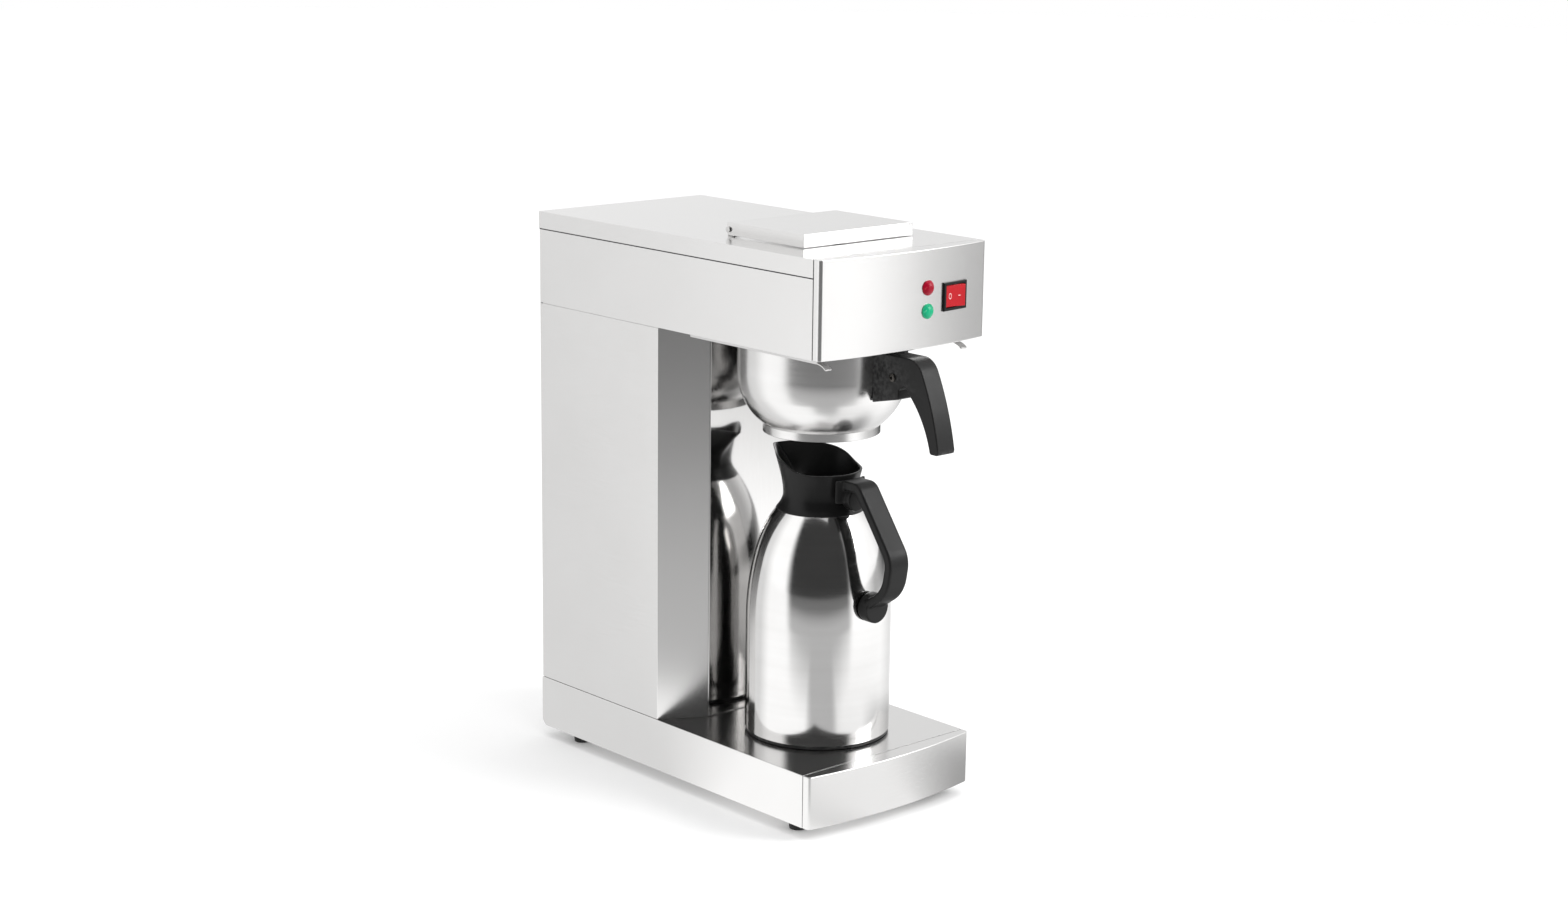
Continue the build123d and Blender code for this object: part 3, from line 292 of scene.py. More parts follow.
def makeTurnedTree():           # turns a profile, drawn as (radius, -height), about an upright axis
    hairline = 0.1 * mm         # radius of the rail that the profile is carried round on
    tree = newTree("turned", [("Around", "Int", 96), ("Axis", "Vector", None), ("Finish", "Material", None)])
    given = treeNode(tree, "NodeGroupInput").outputs
    shifted = treeNode(tree, "GeometryNodeTransform",
                       {"Geometry": given["Geometry"], "Translation": (-hairline, 0, 0)})
    profile = treeNode(tree, "GeometryNodeMeshToCurve", {"Mesh": shifted})
    rail = treeNode(tree, "GeometryNodeCurvePrimitiveCircle",
                    {"Resolution": given["Around"], "Radius": hairline})
    wall = treeNode(tree, "GeometryNodeCurveToMesh", {"Curve": rail, "Profile Curve": profile})
    moved = treeNode(tree, "GeometryNodeTransform", {"Geometry": wall, "Translation": given["Axis"]})
    merged = treeNode(tree, "GeometryNodeMergeByDistance", {"Geometry": moved, "Distance": hairline / 50})
    return closeTree(tree, merged, given["Finish"])


turnedTree = makeTurnedTree()


def turned(name, profile, axis, node, around):
    count = len(profile)
    edges = [(i, (i + 1) % count) for i in range(count)]
    piece = meshPiece(name, [(r, -z, 0) for r, z in profile], [], edges)
    runTree(piece, turnedTree, {"Around": around, "Axis": [axis[0] * mm, axis[1] * mm, 0.0],
                                "Finish": finishes[slotOf[node]]})
    closeUp(piece)
    return shade(piece)


def makeScrewTree():            # pan-head screws with a cross recess, one on each point, facing the given way
    domeRadius, crossLength = 1.55, 1.15        # as shares of the head's radius
    tree = newTree("screws", [("Head Radius", "Float", 0.004), ("Head Height", "Float", 0.002),
                              ("Shank Radius", "Float", 0.002), ("Shank Length", "Float", 0.006),
                              ("Recess", "Float", 0.0009), ("Facing", "Vector", None),
                              ("Finish", "Material", None)])
    given = treeNode(tree, "NodeGroupInput").outputs
    tall, recess = given["Head Height"], given["Recess"]

    def scaled(label, factor):
        return treeNode(tree, "ShaderNodeMath", {0: given[label], 1: factor}, operation="MULTIPLY")

    def lifted(shape, height):
        offset = treeNode(tree, "ShaderNodeCombineXYZ", {"Z": height})
        return treeNode(tree, "GeometryNodeTransform", {"Geometry": shape, "Translation": offset})

    head = treeNode(tree, "GeometryNodeMeshCylinder",
                    {"Vertices": 36, "Radius": given["Head Radius"], "Depth": tall})
    head = lifted(head, scaled("Head Height", 0.5))
    dome = scaled("Head Radius", domeRadius)
    ball = treeNode(tree, "GeometryNodeMeshUVSphere", {"Segments": 36, "Rings": 22, "Radius": dome})
    ball = lifted(ball, treeNode(tree, "ShaderNodeMath", {0: tall, 1: dome}, operation="SUBTRACT"))
    body = treeNode(tree, "GeometryNodeMeshBoolean", {"Mesh 2": head}, operation="INTERSECT")
    tree.links.new(ball.outputs[0], body.inputs["Mesh 2"])
    bar = scaled("Head Radius", crossLength)
    for x, y in ((bar, recess), (recess, bar)):
        size = treeNode(tree, "ShaderNodeCombineXYZ", {"X": x, "Y": y, "Z": tall})
        slot = lifted(treeNode(tree, "GeometryNodeMeshCube", {"Size": size}), tall)
        body = treeNode(tree, "GeometryNodeMeshBoolean", {"Mesh 1": body, "Mesh 2": slot},
                        operation="DIFFERENCE")
    shank = treeNode(tree, "GeometryNodeMeshCylinder",
                     {"Vertices": 20, "Radius": given["Shank Radius"], "Depth": given["Shank Length"]})
    shank = lifted(shank, scaled("Shank Length", -0.5))
    both = treeNode(tree, "GeometryNodeJoinGeometry", {"Geometry": body})
    tree.links.new(shank.outputs[0], both.inputs[0])
    turn = treeNode(tree, "FunctionNodeEulerToRotation", {0: given["Facing"]})
    placed = treeNode(tree, "GeometryNodeInstanceOnPoints",
                      {"Points": given["Geometry"], "Instance": both, "Rotation": turn})
    return closeTree(tree, placed, given["Finish"])


screwTree = makeScrewTree()


def islands(node):              # boxes of the separate solids of a node, in millimetres
    work = weldedCopy(cadNodes[node])
    seen, boxes = set(), []
    for first in work.verts:
        if first in seen:
            continue
        seen.add(first)
        group, edge = [first], [first]
        while edge:
            vert = edge.pop()
            for link in vert.link_edges:
                other = link.other_vert(vert)
                if other not in seen:
                    seen.add(other)
                    group.append(other)
                    edge.append(other)
        low = Vector([min(v.co[i] for v in group) for i in range(3)]) / mm
        high = Vector([max(v.co[i] for v in group) for i in range(3)]) / mm
        boxes.append((low, high))
    work.free()
    return sorted(boxes, key=lambda b: [round(c, 1) for c in b[0]])


def screws(name, node, seats, facing):          # seats: points under the heads
    size = screwSize
    piece = meshPiece(name, seats, [])
    runTree(piece, screwTree, {
        "Head Radius": size["headRadius"] * mm, "Head Height": size["headHeight"] * mm,
        "Shank Radius": size["shankRadius"] * mm, "Shank Length": shankLengths[node] * mm,
        "Recess": size["recess"] * mm, "Facing": facing, "Finish": finishes[slotOf[node]]})
    closeUp(piece, turnOut=False)
    shade(piece, 30)
    return standIn(piece, node)


# shader groups

def newGroup(name, inputs, outputs):
    group = bpy.data.node_groups.new(name, "ShaderNodeTree")
    for label, value in inputs.items():
        kind = "Vector" if isinstance(value, tuple) else "Float"
        socket = group.interface.new_socket(label, in_out="INPUT", socket_type="NodeSocket" + kind)
        socket.default_value = value
    for label in outputs:
        group.interface.new_socket(label, in_out="OUTPUT", socket_type="NodeSocketFloat")
    return group, group.nodes.new("NodeGroupInput").outputs


def closeGroup(group, results):
    treeNode(group, "NodeGroupOutput", results)
    return group


def objectPlace(tree):
    return treeNode(tree, "ShaderNodeTexCoord").outputs["Object"]


def noise(tree, vector, scale, detail, roughness):
    return treeNode(tree, "ShaderNodeTexNoise", {"Vector": vector, "Scale": scale, "Detail": detail,
                                                 "Roughness": roughness}).outputs["Fac"]


def spread(tree, value, low, high, toLow=0.0, toHigh=1.0, smooth=False):
    node = treeNode(tree, "ShaderNodeMapRange", {"Value": value, "From Min": low, "From Max": high,
                                                 "To Min": toLow, "To Max": toHigh})
    node.interpolation_type = "SMOOTHSTEP" if smooth else "LINEAR"
    return node.outputs[0]


def arithmetic(tree, operation, a, b=0.0, c=0.0):
    return treeNode(tree, "ShaderNodeMath", {0: a, 1: b, 2: c}, operation=operation).outputs[0]


def vectorMath(tree, operation, *values):
    node = treeNode(tree, "ShaderNodeVectorMath", dict(enumerate(values)), operation=operation)
    return node.outputs["Value" if operation in ("LENGTH", "DOT_PRODUCT") else "Vector"]


def split(tree, vector):
    return treeNode(tree, "ShaderNodeSeparateXYZ", {0: vector}).outputs


surfaceOutputs = ("Roughness", "Height", "Tone")


def makeGrainGroup():           # straight brushed grain: fine streaks, broad clouds and a few wiped patches
    group, given = newGroup("brushedGrain", {
        "Stretch": (1.0, 1.0, 1.0), "Fineness": 3000.0, "Rough Low": 0.2, "Rough High": 0.3,
        "Cloud Size": 12.0, "Wipe": 0.04}, surfaceOutputs)
    place = objectPlace(group)
    along = vectorMath(group, "MULTIPLY", place, given["Stretch"])
    streaks = noise(group, along, given["Fineness"], 3.0, 0.7)
    clouds = noise(group, place, given["Cloud Size"], 3.0, 0.5)
    wiped = spread(group, noise(group, place, 17.0, 2.0, 0.6), 0.55, 0.72, smooth=True)
    rough = spread(group, streaks, 0.3, 0.7, given["Rough Low"], given["Rough High"])
    rough = arithmetic(group, "MULTIPLY_ADD", wiped, given["Wipe"], rough)
    rough = arithmetic(group, "MULTIPLY_ADD", clouds, 0.02, rough)
    tone = arithmetic(group, "MULTIPLY_ADD", clouds, 0.35, arithmetic(group, "MULTIPLY", streaks, 0.65))
    return closeGroup(group, {"Roughness": rough, "Height": streaks, "Tone": tone})


def makeSpunGroup():            # rings left by a spinning tool, round an upright axis
    group, given = newGroup("spunRings", {
        "Centre": (0.0, 0.0, 0.0), "Fineness": 1500.0, "Rough Low": 0.1, "Rough High": 0.2}, surfaceOutputs)
    place = objectPlace(group)
    x, y, z = split(group, vectorMath(group, "SUBTRACT", place, given["Centre"]))
    radius = vectorMath(group, "LENGTH", treeNode(group, "ShaderNodeCombineXYZ", {"X": x, "Y": y}))
    line = treeNode(group, "ShaderNodeCombineXYZ", {
        "X": arithmetic(group, "MULTIPLY", x, 0.01), "Y": arithmetic(group, "MULTIPLY", y, 0.01),
        "Z": arithmetic(group, "ADD", radius, z)})
    rings = noise(group, line, given["Fineness"], 2.0, 0.6)
    broad = noise(group, line, 90.0, 1.0, 0.5)
    clouds = noise(group, place, 24.0, 2.0, 0.5)
    rough = spread(group, rings, 0.3, 0.7, given["Rough Low"], given["Rough High"])
    rough = arithmetic(group, "MULTIPLY_ADD", clouds, 0.05, rough)
    tone = arithmetic(group, "MULTIPLY_ADD", broad, 0.5, arithmetic(group, "MULTIPLY", clouds, 0.5))
    return closeGroup(group, {"Roughness": rough, "Height": rings, "Tone": tone})


def makeMouldGroup():           # fine spark-eroded texture of moulded plastic and rubber
    group, given = newGroup("mouldGrain", {"Fineness": 2600.0, "Rough Low": 0.3, "Rough High": 0.45},
                            surfaceOutputs)
    place = objectPlace(group)
    pits = noise(group, place, given["Fineness"], 2.0, 0.6)
    rubbed = noise(group, place, 38.0, 3.0, 0.6)
    rough = spread(group, rubbed, 0.3, 0.7, given["Rough Low"], given["Rough High"])
    tone = arithmetic(group, "MULTIPLY_ADD", pits, 0.4, arithmetic(group, "MULTIPLY", rubbed, 0.6))
    return closeGroup(group, {"Roughness": rough, "Height": pits, "Tone": tone})


def makeWearGroup():            # worn raised edges and dust on faces that look up
    group, given = newGroup("wearAndDust", {"Wear": 0.5, "Dust": 0.1}, ("Worn", "Dusty"))
    geometry = treeNode(group, "ShaderNodeNewGeometry").outputs
    place = objectPlace(group)
    raised = spread(group, geometry["Pointiness"], 0.52, 0.6, smooth=True)
    patchy = spread(group, noise(group, place, 260.0, 3.0, 0.65), 0.35, 0.65)
    upward = spread(group, split(group, geometry["Normal"])["Z"], 0.6, 1.0)
    specks = spread(group, noise(group, place, 900.0, 2.0, 0.7), 0.52, 0.75)
    worn = arithmetic(group, "MULTIPLY", arithmetic(group, "MULTIPLY", raised, patchy), given["Wear"])
    dusty = arithmetic(group, "MULTIPLY", arithmetic(group, "MULTIPLY", upward, specks), given["Dust"])
    return closeGroup(group, {"Worn": worn, "Dusty": dusty})


grainGroup = makeGrainGroup()
spunGroup = makeSpunGroup()
mouldGroup = makeMouldGroup()
wearGroup = makeWearGroup()


def groupNode(tree, group, values):
    node = tree.nodes.new("ShaderNodeGroup")
    node.node_tree = group
    for key, value in values.items():
        node.inputs[key].default_value = value
    return node


def newSurface(name, settings):
    material = bpy.data.materials.new(name)
    material.use_nodes = True
    tree = material.node_tree
    shader = tree.nodes["Principled BSDF"]
    for key, value in settings.items():
        shader.inputs[key].default_value = value
    return material, tree, shader


def toned(tree, low, high, tone):               # colour that wanders between two close tones
    mix = treeNode(tree, "ShaderNodeMix", {"Factor": tone}, data_type="RGBA")
    mix.inputs["A"].default_value = (*low, 1)
    mix.inputs["B"].default_value = (*high, 1)
    return mix.outputs["Result"]


def mixedIn(tree, base, colour, factor):
    mix = treeNode(tree, "ShaderNodeMix", {"Factor": factor}, data_type="RGBA")
    tree.links.new(base, mix.inputs["A"])
    mix.inputs["B"].default_value = (*colour, 1)
    return mix.outputs["Result"]


def bumped(tree, shader, height, depth):
    bump = treeNode(tree, "ShaderNodeBump", {"Height": height, "Distance": depth * mm, "Strength": 1.0})
    tree.links.new(bump.outputs["Normal"], shader.inputs["Normal"])


def metal(name, group, look):
    material, tree, shader = newSurface(name, {"Metallic": 1.0})
    grain = groupNode(tree, group, look["grain"])
    tone = spread(tree, grain.outputs["Tone"], 0.3, 0.7)
    tree.links.new(toned(tree, look["dark"], look["light"], tone), shader.inputs["Base Color"])
    tree.links.new(grain.outputs["Roughness"], shader.inputs["Roughness"])
    bumped(tree, shader, grain.outputs["Height"], look["depth"])
    return material


def moulded(name, look):
    material, tree, shader = newSurface(name, {"Specular IOR Level": look["shine"]})
    grain = groupNode(tree, mouldGroup, look["grain"])
    wear = groupNode(tree, wearGroup, {"Wear": look["wear"], "Dust": look["dust"]})
    tone = spread(tree, grain.outputs["Tone"], 0.3, 0.7)
    colour = toned(tree, look["dark"], look["light"], tone)
    colour = mixedIn(tree, colour, look["worn"], wear.outputs["Worn"])
    colour = mixedIn(tree, colour, look["dustColour"], wear.outputs["Dusty"])
    tree.links.new(colour, shader.inputs["Base Color"])
    rough = arithmetic(tree, "MULTIPLY_ADD", wear.outputs["Dusty"], 0.3, grain.outputs["Roughness"])
    tree.links.new(rough, shader.inputs["Roughness"])
    bumped(tree, shader, grain.outputs["Height"], look["depth"])
    return material


def grey(value, warmth=0.0):
    return (value + warmth, value, value - warmth)


lengthwise = (1.0, 0.02, 1.0)
crosswise = (0.02, 1.0, 1.0)
upright = (1.0, 1.0, 0.02)
brewAxis = middle("funnel_bowl") * mm


def sheetSteel(name, stretch, rough, light=0.66, depth=0.0008, wipe=0.008):
    return metal(name, grainGroup, {
        "grain": {"Stretch": stretch, "Fineness": 2600.0, "Wipe": wipe, "Rough Low": rough - 0.025,
                  "Rough High": rough + 0.025},
        "dark": grey(light - 0.025, 0.006), "light": grey(light + 0.02, 0.004), "depth": depth})


def spunSteel(name, rough, depth, light=0.66):
    return metal(name, spunGroup, {
        "grain": {"Centre": brewAxis, "Fineness": 1500.0, "Rough Low": rough - 0.03,
                  "Rough High": rough + 0.03},
        "dark": grey(light - 0.03, 0.006), "light": grey(light + 0.02, 0.004), "depth": depth})


def plastic(name, dark, light, rough, depth=0.02, dust=0.06, worn=(0.12, 0.12, 0.12)):
    return moulded(name, {
        "grain": {"Fineness": 2600.0, "Rough Low": rough - 0.05, "Rough High": rough + 0.06},
        "dark": dark, "light": light, "depth": depth, "wear": 0.5, "dust": dust, "worn": worn,
        "dustColour": (0.45, 0.43, 0.4), "shine": 0.17})


finishes = {
    "body_steel": sheetSteel("bodySteel", lengthwise, 0.2),
    "panel_steel": sheetSteel("panelSteel", crosswise, 0.24),
    "mirror_steel": sheetSteel("mirrorSteel", upright, 0.06, light=0.62, depth=0.0005, wipe=0.01),
    "inner_steel": sheetSteel("innerSteel", lengthwise, 0.34, light=0.56),
    "polished_steel": sheetSteel("polishedSteel", lengthwise, 0.14),
    "carafe_steel": spunSteel("carafeSteel", 0.09, 0.0006),
    "funnel_steel": spunSteel("funnelSteel", 0.2, 0.0015),
    "tank_steel": sheetSteel("tankSteel", upright, 0.38, light=0.5),
    "element_sheath": sheetSteel("elementSheath", upright, 0.5, light=0.3),
    "screw_steel": sheetSteel("screwSteel", (1.0, 1.0, 1.0), 0.25, light=0.6),
    "brass_fitting": metal("brassFitting", grainGroup, {
        "grain": {"Stretch": (1.0, 1.0, 1.0), "Fineness": 1800.0, "Rough Low": 0.22, "Rough High": 0.34},
        "dark": (0.62, 0.42, 0.16), "light": (0.72, 0.5, 0.22), "depth": 0.005}),
    "foot_rubber": plastic("footRubber", grey(0.012), grey(0.022), 0.7, depth=0.05, worn=grey(0.07)),
    "silicone": plastic("silicone", (0.72, 0.7, 0.66), (0.8, 0.78, 0.74), 0.45, worn=grey(0.8), dust=0.02),
    "black_plastic": plastic("blackPlastic", grey(0.006), grey(0.01), 0.3, dust=0.02),
    "handle_plastic": plastic("handlePlastic", grey(0.007), grey(0.01), 0.36, depth=0.008, dust=0.01),
    "collar_plastic": plastic("collarPlastic", grey(0.006), grey(0.009), 0.33, depth=0.008, dust=0.0),
    "white_plastic": plastic("whitePlastic", grey(0.66), grey(0.74), 0.4, worn=grey(0.8)),
    "wire_sleeve": plastic("wireSleeve", (0.55, 0.3, 0.2), (0.62, 0.36, 0.24), 0.5, worn=grey(0.6)),
    "red_plastic": plastic("redPlastic", (0.36, 0.006, 0.012), (0.44, 0.01, 0.016), 0.24, depth=0.004,
                           worn=(0.6, 0.08, 0.08), dust=0.0),
    "red_lens": plastic("redLens", (0.2, 0.002, 0.01), (0.4, 0.006, 0.03), 0.1, depth=0.0, dust=0.0,
                        worn=(0.6, 0.1, 0.1)),
    "green_lens": plastic("greenLens", (0.006, 0.25, 0.12), (0.014, 0.38, 0.19), 0.1, depth=0.0, dust=0.0,
                          worn=(0.3, 0.8, 0.5)),
}
for name, node in cadNodes.items():
    for holder in node.material_slots:
        holder.material = finishes[slotOf[name]]
print("finishes made:", len(finishes))


# folded sheet panels: a copy of each, with rounded bends and broken edges

# radius of a bend and of a broken sheet edge, width from which a face is a panel, and the angles in degrees
# below which faces are one flat face and from which an edge is a fold
panelLook = {"bend": 1.3, "edge": 0.22, "wide": 4.0, "flat": 0.7, "fold": 38}


def softened(node, bend=panelLook["bend"], edge=panelLook["edge"]):
    piece = linked(node + "_sheet", cadNodes[node].data.copy())
    work = weldedCopy(piece)
    flat = math.radians(panelLook["flat"])
    bmesh.ops.dissolve_limit(work, angle_limit=flat, verts=work.verts, edges=work.edges)
    weight = work.edges.layers.float.new("bevel_weight_edge")
    for line in work.edges:
        if len(line.link_faces) != 2 or line.calc_length() == 0:
            continue
        turn = line.calc_face_angle_signed(0)
        if turn < math.radians(panelLook["fold"]):
            continue
        broad = min(face.calc_area() / line.calc_length() for face in line.link_faces)
        line[weight] = 1.0 if broad > panelLook["wide"] * mm else edge / bend
    work.to_mesh(piece.data)
    work.free()
    bevel = piece.modifiers.new("bevel", "BEVEL")
    bevel.width = bend * mm
    bevel.segments = 3
    bevel.limit_method = "WEIGHT"
    settle(piece)
    shade(piece)
    return standIn(piece, node)


for node in ("base_shell", "column_side_left", "column_side_right", "column_front_panel", "head_tray",
             "top_cover", "rear_panel", "fill_lid", "fill_basin"):
    softened(node)
for node in ("lid_hinge_ears", "funnel_rail_left", "funnel_rail_right", "switch_housing"):
    softened(node, bend=0.4, edge=0.15)
print("sheet panels softened")


# bulging front panels of the base and the head

frontFold = {"bend": 0.8, "sheet": 1.2, "lip": 12.0, "seam": 1.0}
frontPanels = {
    "base_front_panel": {"bow": 9.5, "cornerRadius": 3.4, **frontFold},
    "head_front_panel": {"bow": 9.0, "cornerRadius": 3.6, **frontFold},
}
switchHole = {"width": 28.6, "height": 22.0, "lampRadius": 5.2, "depth": 12.0}


def bowOf(node):                # radius and centre of a front panel's bulge
    low, high = corners(node)
    bow = frontPanels[node]["bow"]
    half = high.x
    radius = (half ** 2 + bow ** 2) / (2 * bow)
    return radius, low.y + radius


def onFront(x, z):              # place on the head's front, with -Y pointing straight out of it
    radius, centre = bowOf("head_front_panel")
    spot = Matrix.Translation((x, centre - math.sqrt(radius ** 2 - x ** 2), z))
    return spot @ Matrix.Rotation(math.asin(x / radius), 4, "Z")


def bowedPanel(node):
    size = frontPanels[node]
    low, high = corners(node)
    half, corner = high.x, size["cornerRadius"]
    rear = high.y - size["lip"] - size["seam"]
    radius, centre = bowOf(node)
    hub = Vector((half - corner, centre - math.sqrt((radius - corner) ** 2 - (half - corner) ** 2)))
    meet = math.atan2(hub.x, centre - hub.y)            # where the corner runs into the bulge
    left = [(-half, rear)]
    for i in range(9):                                  # the rounded corner
        turn = (math.pi / 2) * (1 - i / 8) + meet * i / 8
        left.append((-hub.x - corner * math.sin(turn), hub.y - corner * math.cos(turn)))
    count = 72
    bulge = [(radius * math.sin(a), centre - radius * math.cos(a))
             for a in (meet * (2 * i / count - 1) for i in range(1, count))]
    plan = left + bulge + [(-x, y) for x, y in reversed(left)]
    total = len(plan)
    points = [(x, y, z) for z in (low.z, high.z) for x, y in plan]
    faces = [(i, i + 1, i + 1 + total, i + total) for i in range(total - 1)]
    faces += [tuple(range(total))[::-1], tuple(range(total, 2 * total))]
    panel = meshPiece(node + "_folded", points, faces)
    bevelled(panel, size["bend"], 3, 50)
    sheet = panel.modifiers.new("sheet", "SOLIDIFY")
    sheet.thickness = size["sheet"] * mm
    sheet.offset = -1
    sheet.use_even_offset = True
    settle(panel)
    if node == "head_front_panel":
        depth = switchHole["depth"]
        spot = middle("switch_housing")
        hole = box("hole", (-switchHole["width"] / 2, -depth, -switchHole["height"] / 2),
                   (switchHole["width"] / 2, depth, switchHole["height"] / 2))
        cut(panel, placed(hole, onFront(switchPlace["x"], spot.z)))
        for lamp in ("heating_lamp", "ready_lamp"):
            spot = middle(lamp)
            hole = rodBetween("hole", (0, -depth, 0), (0, depth, 0), switchHole["lampRadius"])
            cut(panel, placed(hole, onFront(switchPlace["lampX"], spot.z)))
    wall = size["sheet"]
    outside, inside = half - wall, half - 2 * wall
    front = low.y + size["bow"] + wall
    under, over = low.z + 3 * wall, high.z - wall
    lips = [box("lip", (-outside, front, over - wall), (outside, high.y, over)),
            box("lip", (-outside, front, under), (-inside, high.y, over - wall)),
            box("lip", (inside, front, under), (outside, high.y, over - wall))]
    whole = joined(node + "_folded", [panel] + lips)
    shade(whole, 34)
    return standIn(whole, node)


switchPlace = {"x": 55.0, "lampX": 20.0}
for node in frontPanels:
    bowedPanel(node)
print("front panels bowed")


# black strips set back in the seams between the panels: painted shade, a dark sheet that makes the seams read
# as shadow gaps

seamShade = {"recess": 0.6, "thick": 0.7, "gap": 1.0, "tuck": 0.15, "least": 0.2, "clear": 1.0}


def makeSeamShade():
    half = corners("head_tray")[1].x
    gap, tuck, recess = seamShade["gap"], seamShade["tuck"], seamShade["recess"]
    cover, coverTop = corners("top_cover")
    post, postTop = corners("column_side_left")
    runs = [(cover.y, coverTop.y - recess, cover.z - gap, cover.z),
            (post.y, postTop.y - recess, postTop.z, corners("head_tray")[0].z),
            (post.y, postTop.y - recess, corners("base_shell")[1].z, post.z)]
    for node, size in frontPanels.items():
        low, high = corners(node)
        rear = high.y - size["lip"] - size["seam"]
        runs.append((rear, rear + gap, low.z + seamShade["clear"], high.z - seamShade["clear"]))
    strips = []
    for y0, y1, z0, z1 in runs:
        if z1 - z0 < seamShade["least"]:
            continue
        for side in (-1, 1):
            inner, outer = sorted((side * (half - recess - seamShade["thick"]), side * (half - recess)))
            strips.append(box("strip", (inner, y0 - tuck, z0 - tuck), (outer, y1 + tuck, z1 + tuck)))
    rearFace = coverTop.y - recess
    strips.append(box("strip", (recess - half, rearFace - seamShade["thick"], cover.z - gap - tuck),
                      (half - recess, rearFace, cover.z + tuck)))
    # the joined black strips are painted shade in the seams
    addOn(shade(joined("seam_painted_shade", strips), 30, weighted=False), "head_tray", "black_plastic")


makeSeamShade()
# the black strips in the seams are painted shade
print("gaskets laid in the seams")


# turned pieces: funnel bowl, carafe, its rubber foot and the stopper

funnelLook = {"wall": 1.0, "rimWidth": 7.4, "rimThick": 1.2, "rimRound": 0.35, "rimFlat": 0.5,
              "straight": 38.3, "bowlEnd": 76.8, "footRadius": 53.2, "footRound": 0.4, "drain": 4.0,
              "cone": 5.0, "spout": 1.0, "midInset": 7.2, "midDrop": 20.0, "blend": 9.0}


def softJoin(arc, blend):       # rounds the corner where the bowl's arc meets the straight wall above it
    end = arc[-1]
    kept = [point for point in arc if end[1] - point[1] > blend]
    start, above = kept[-1], (end[0], end[1] + blend)
    for i in range(1, 15):
        t = i / 15
        kept.append(((1 - t) ** 2 * start[0] + 2 * t * (1 - t) * end[0] + t ** 2 * above[0],
                     (1 - t) ** 2 * start[1] + 2 * t * (1 - t) * end[1] + t ** 2 * above[1]))
    return kept + [above]


def makeFunnelBowl():
    size = funnelLook
    low, high = corners("funnel_bowl")
    axis = middle("funnel_bowl")
    rim, wall, top = high.x, size["wall"], high.z
    under = top - size["rimThick"]
    bowl = rim - size["rimWidth"]
    straight, bowlLow, footLow = under - size["straight"], under - size["bowlEnd"], low.z
    foot, drain, cone = size["footRadius"], size["drain"], size["cone"]
    curl, flat, edge = size["rimRound"], size["rimFlat"], size["footRound"]
    mid = (bowl - size["midInset"], straight - size["midDrop"])
    floor, spout = bowlLow + wall, footLow + size["spout"]
    outer = [(drain + wall, spout), (drain + wall, floor - cone - wall), (foot - wall, floor - 1.2 * wall),
             (foot - wall, footLow + edge), (foot - wall / 2, footLow), (foot, footLow + edge),
             (foot, bowlLow - flat)]
    outer += softJoin(arcThrough((foot + curl, bowlLow), mid, (bowl, straight), 40), size["blend"])
    outer += [(bowl, under - 0.9 * wall), (bowl + 0.3 * wall, under - 0.25 * wall),
              (bowl + 0.9 * wall, under), (rim - flat, under), (rim, under + curl), (rim, top - curl),
              (rim - flat, top), (bowl, top),
              (bowl - wall, top - 0.8 * wall)]
    mid = (mid[0] - 0.9 * wall, mid[1] + 0.4 * wall)
    inner = softJoin(arcThrough((foot - wall, floor), mid, (bowl - wall, straight), 40), size["blend"])[::-1]
    inner += [(drain + 2 * wall, floor - cone + wall), (drain, floor - cone), (drain, spout)]
    piece = turned("brew_funnel_bowl", outer + inner, axis, "funnel_bowl", 192)
    return standIn(piece, "funnel_bowl")


carafeLook = {"straight": 107.6, "shoulderRadius": 59.1, "shoulderHeight": 168.7, "neckRadius": 40.3,
              "neckHeight": 209.6, "wall": 0.8, "hem": ((0.5, 0), (0.12, 0.15), (0, 0.6)),
              "ringWide": 6.0, "ringEdge": ((0.8, 0), (0.2, 0.3), (0, 0.9))}


def carafeSide(inset, start):   # outline from height start up to the neck
    size = carafeLook
    floor = corners("carafe_foot_ring")[0].z
    radius = corners("carafe_shell")[1].x - inset
    a = (radius, floor + size["straight"])
    b = (size["shoulderRadius"] - inset, floor + size["shoulderHeight"] - 0.25 * inset)
    c = (size["neckRadius"] - 0.85 * inset, floor + size["neckHeight"] - 0.6 * inset)
    lower, heading = leavingArc(a, (0, 1), b, 28)
    upper, heading = leavingArc(b, heading, c, 36)
    return [(a[0], start)] + lower + upper[1:]


def makeCarafeShell():
    start = corners("carafe_shell")[0].z
    outer = carafeSide(0, start)
    inner = carafeSide(carafeLook["wall"], start)
    outer[0:1] = [(outer[0][0] - inset, start + rise) for inset, rise in carafeLook["hem"]]
    piece = turned("carafe_body", outer + inner[::-1], middle("carafe_shell"), "carafe_shell", 224)
    return standIn(piece, "carafe_shell")


def makeFootRing():
    low, high = corners("carafe_foot_ring")
    r, bore = high.x, high.x - carafeLook["ringWide"]
    outline = [(bore, low.z)] + [(r - inset, low.z + rise) for inset, rise in carafeLook["ringEdge"]]
    outline += [(r, high.z), (bore, high.z)]
    piece = turned("carafe_rubber_foot", outline, middle("carafe_foot_ring"), "carafe_foot_ring", 160)
    return standIn(piece, "carafe_foot_ring")


# a lip round the top, a dish inside it and a hole in the middle. Points of the foot are (in from the side,
# up from the bottom), of the lip (in from the side, down from the top), and of the dish (out from the hole,
# down from the top)
stopperLook = {"hole": 5.0, "foot": ((3, 0), (0.6, 3.4), (0, 4.4)),
               "lip": ((0, 0.6), (0.6, 0), (1.6, 0), (2.1, 0.5), (3.3, 3.6), (4, 4.2)),
               "dish": ((2.6, 8.9), (0.6, 9.7), (0, 10.3))}


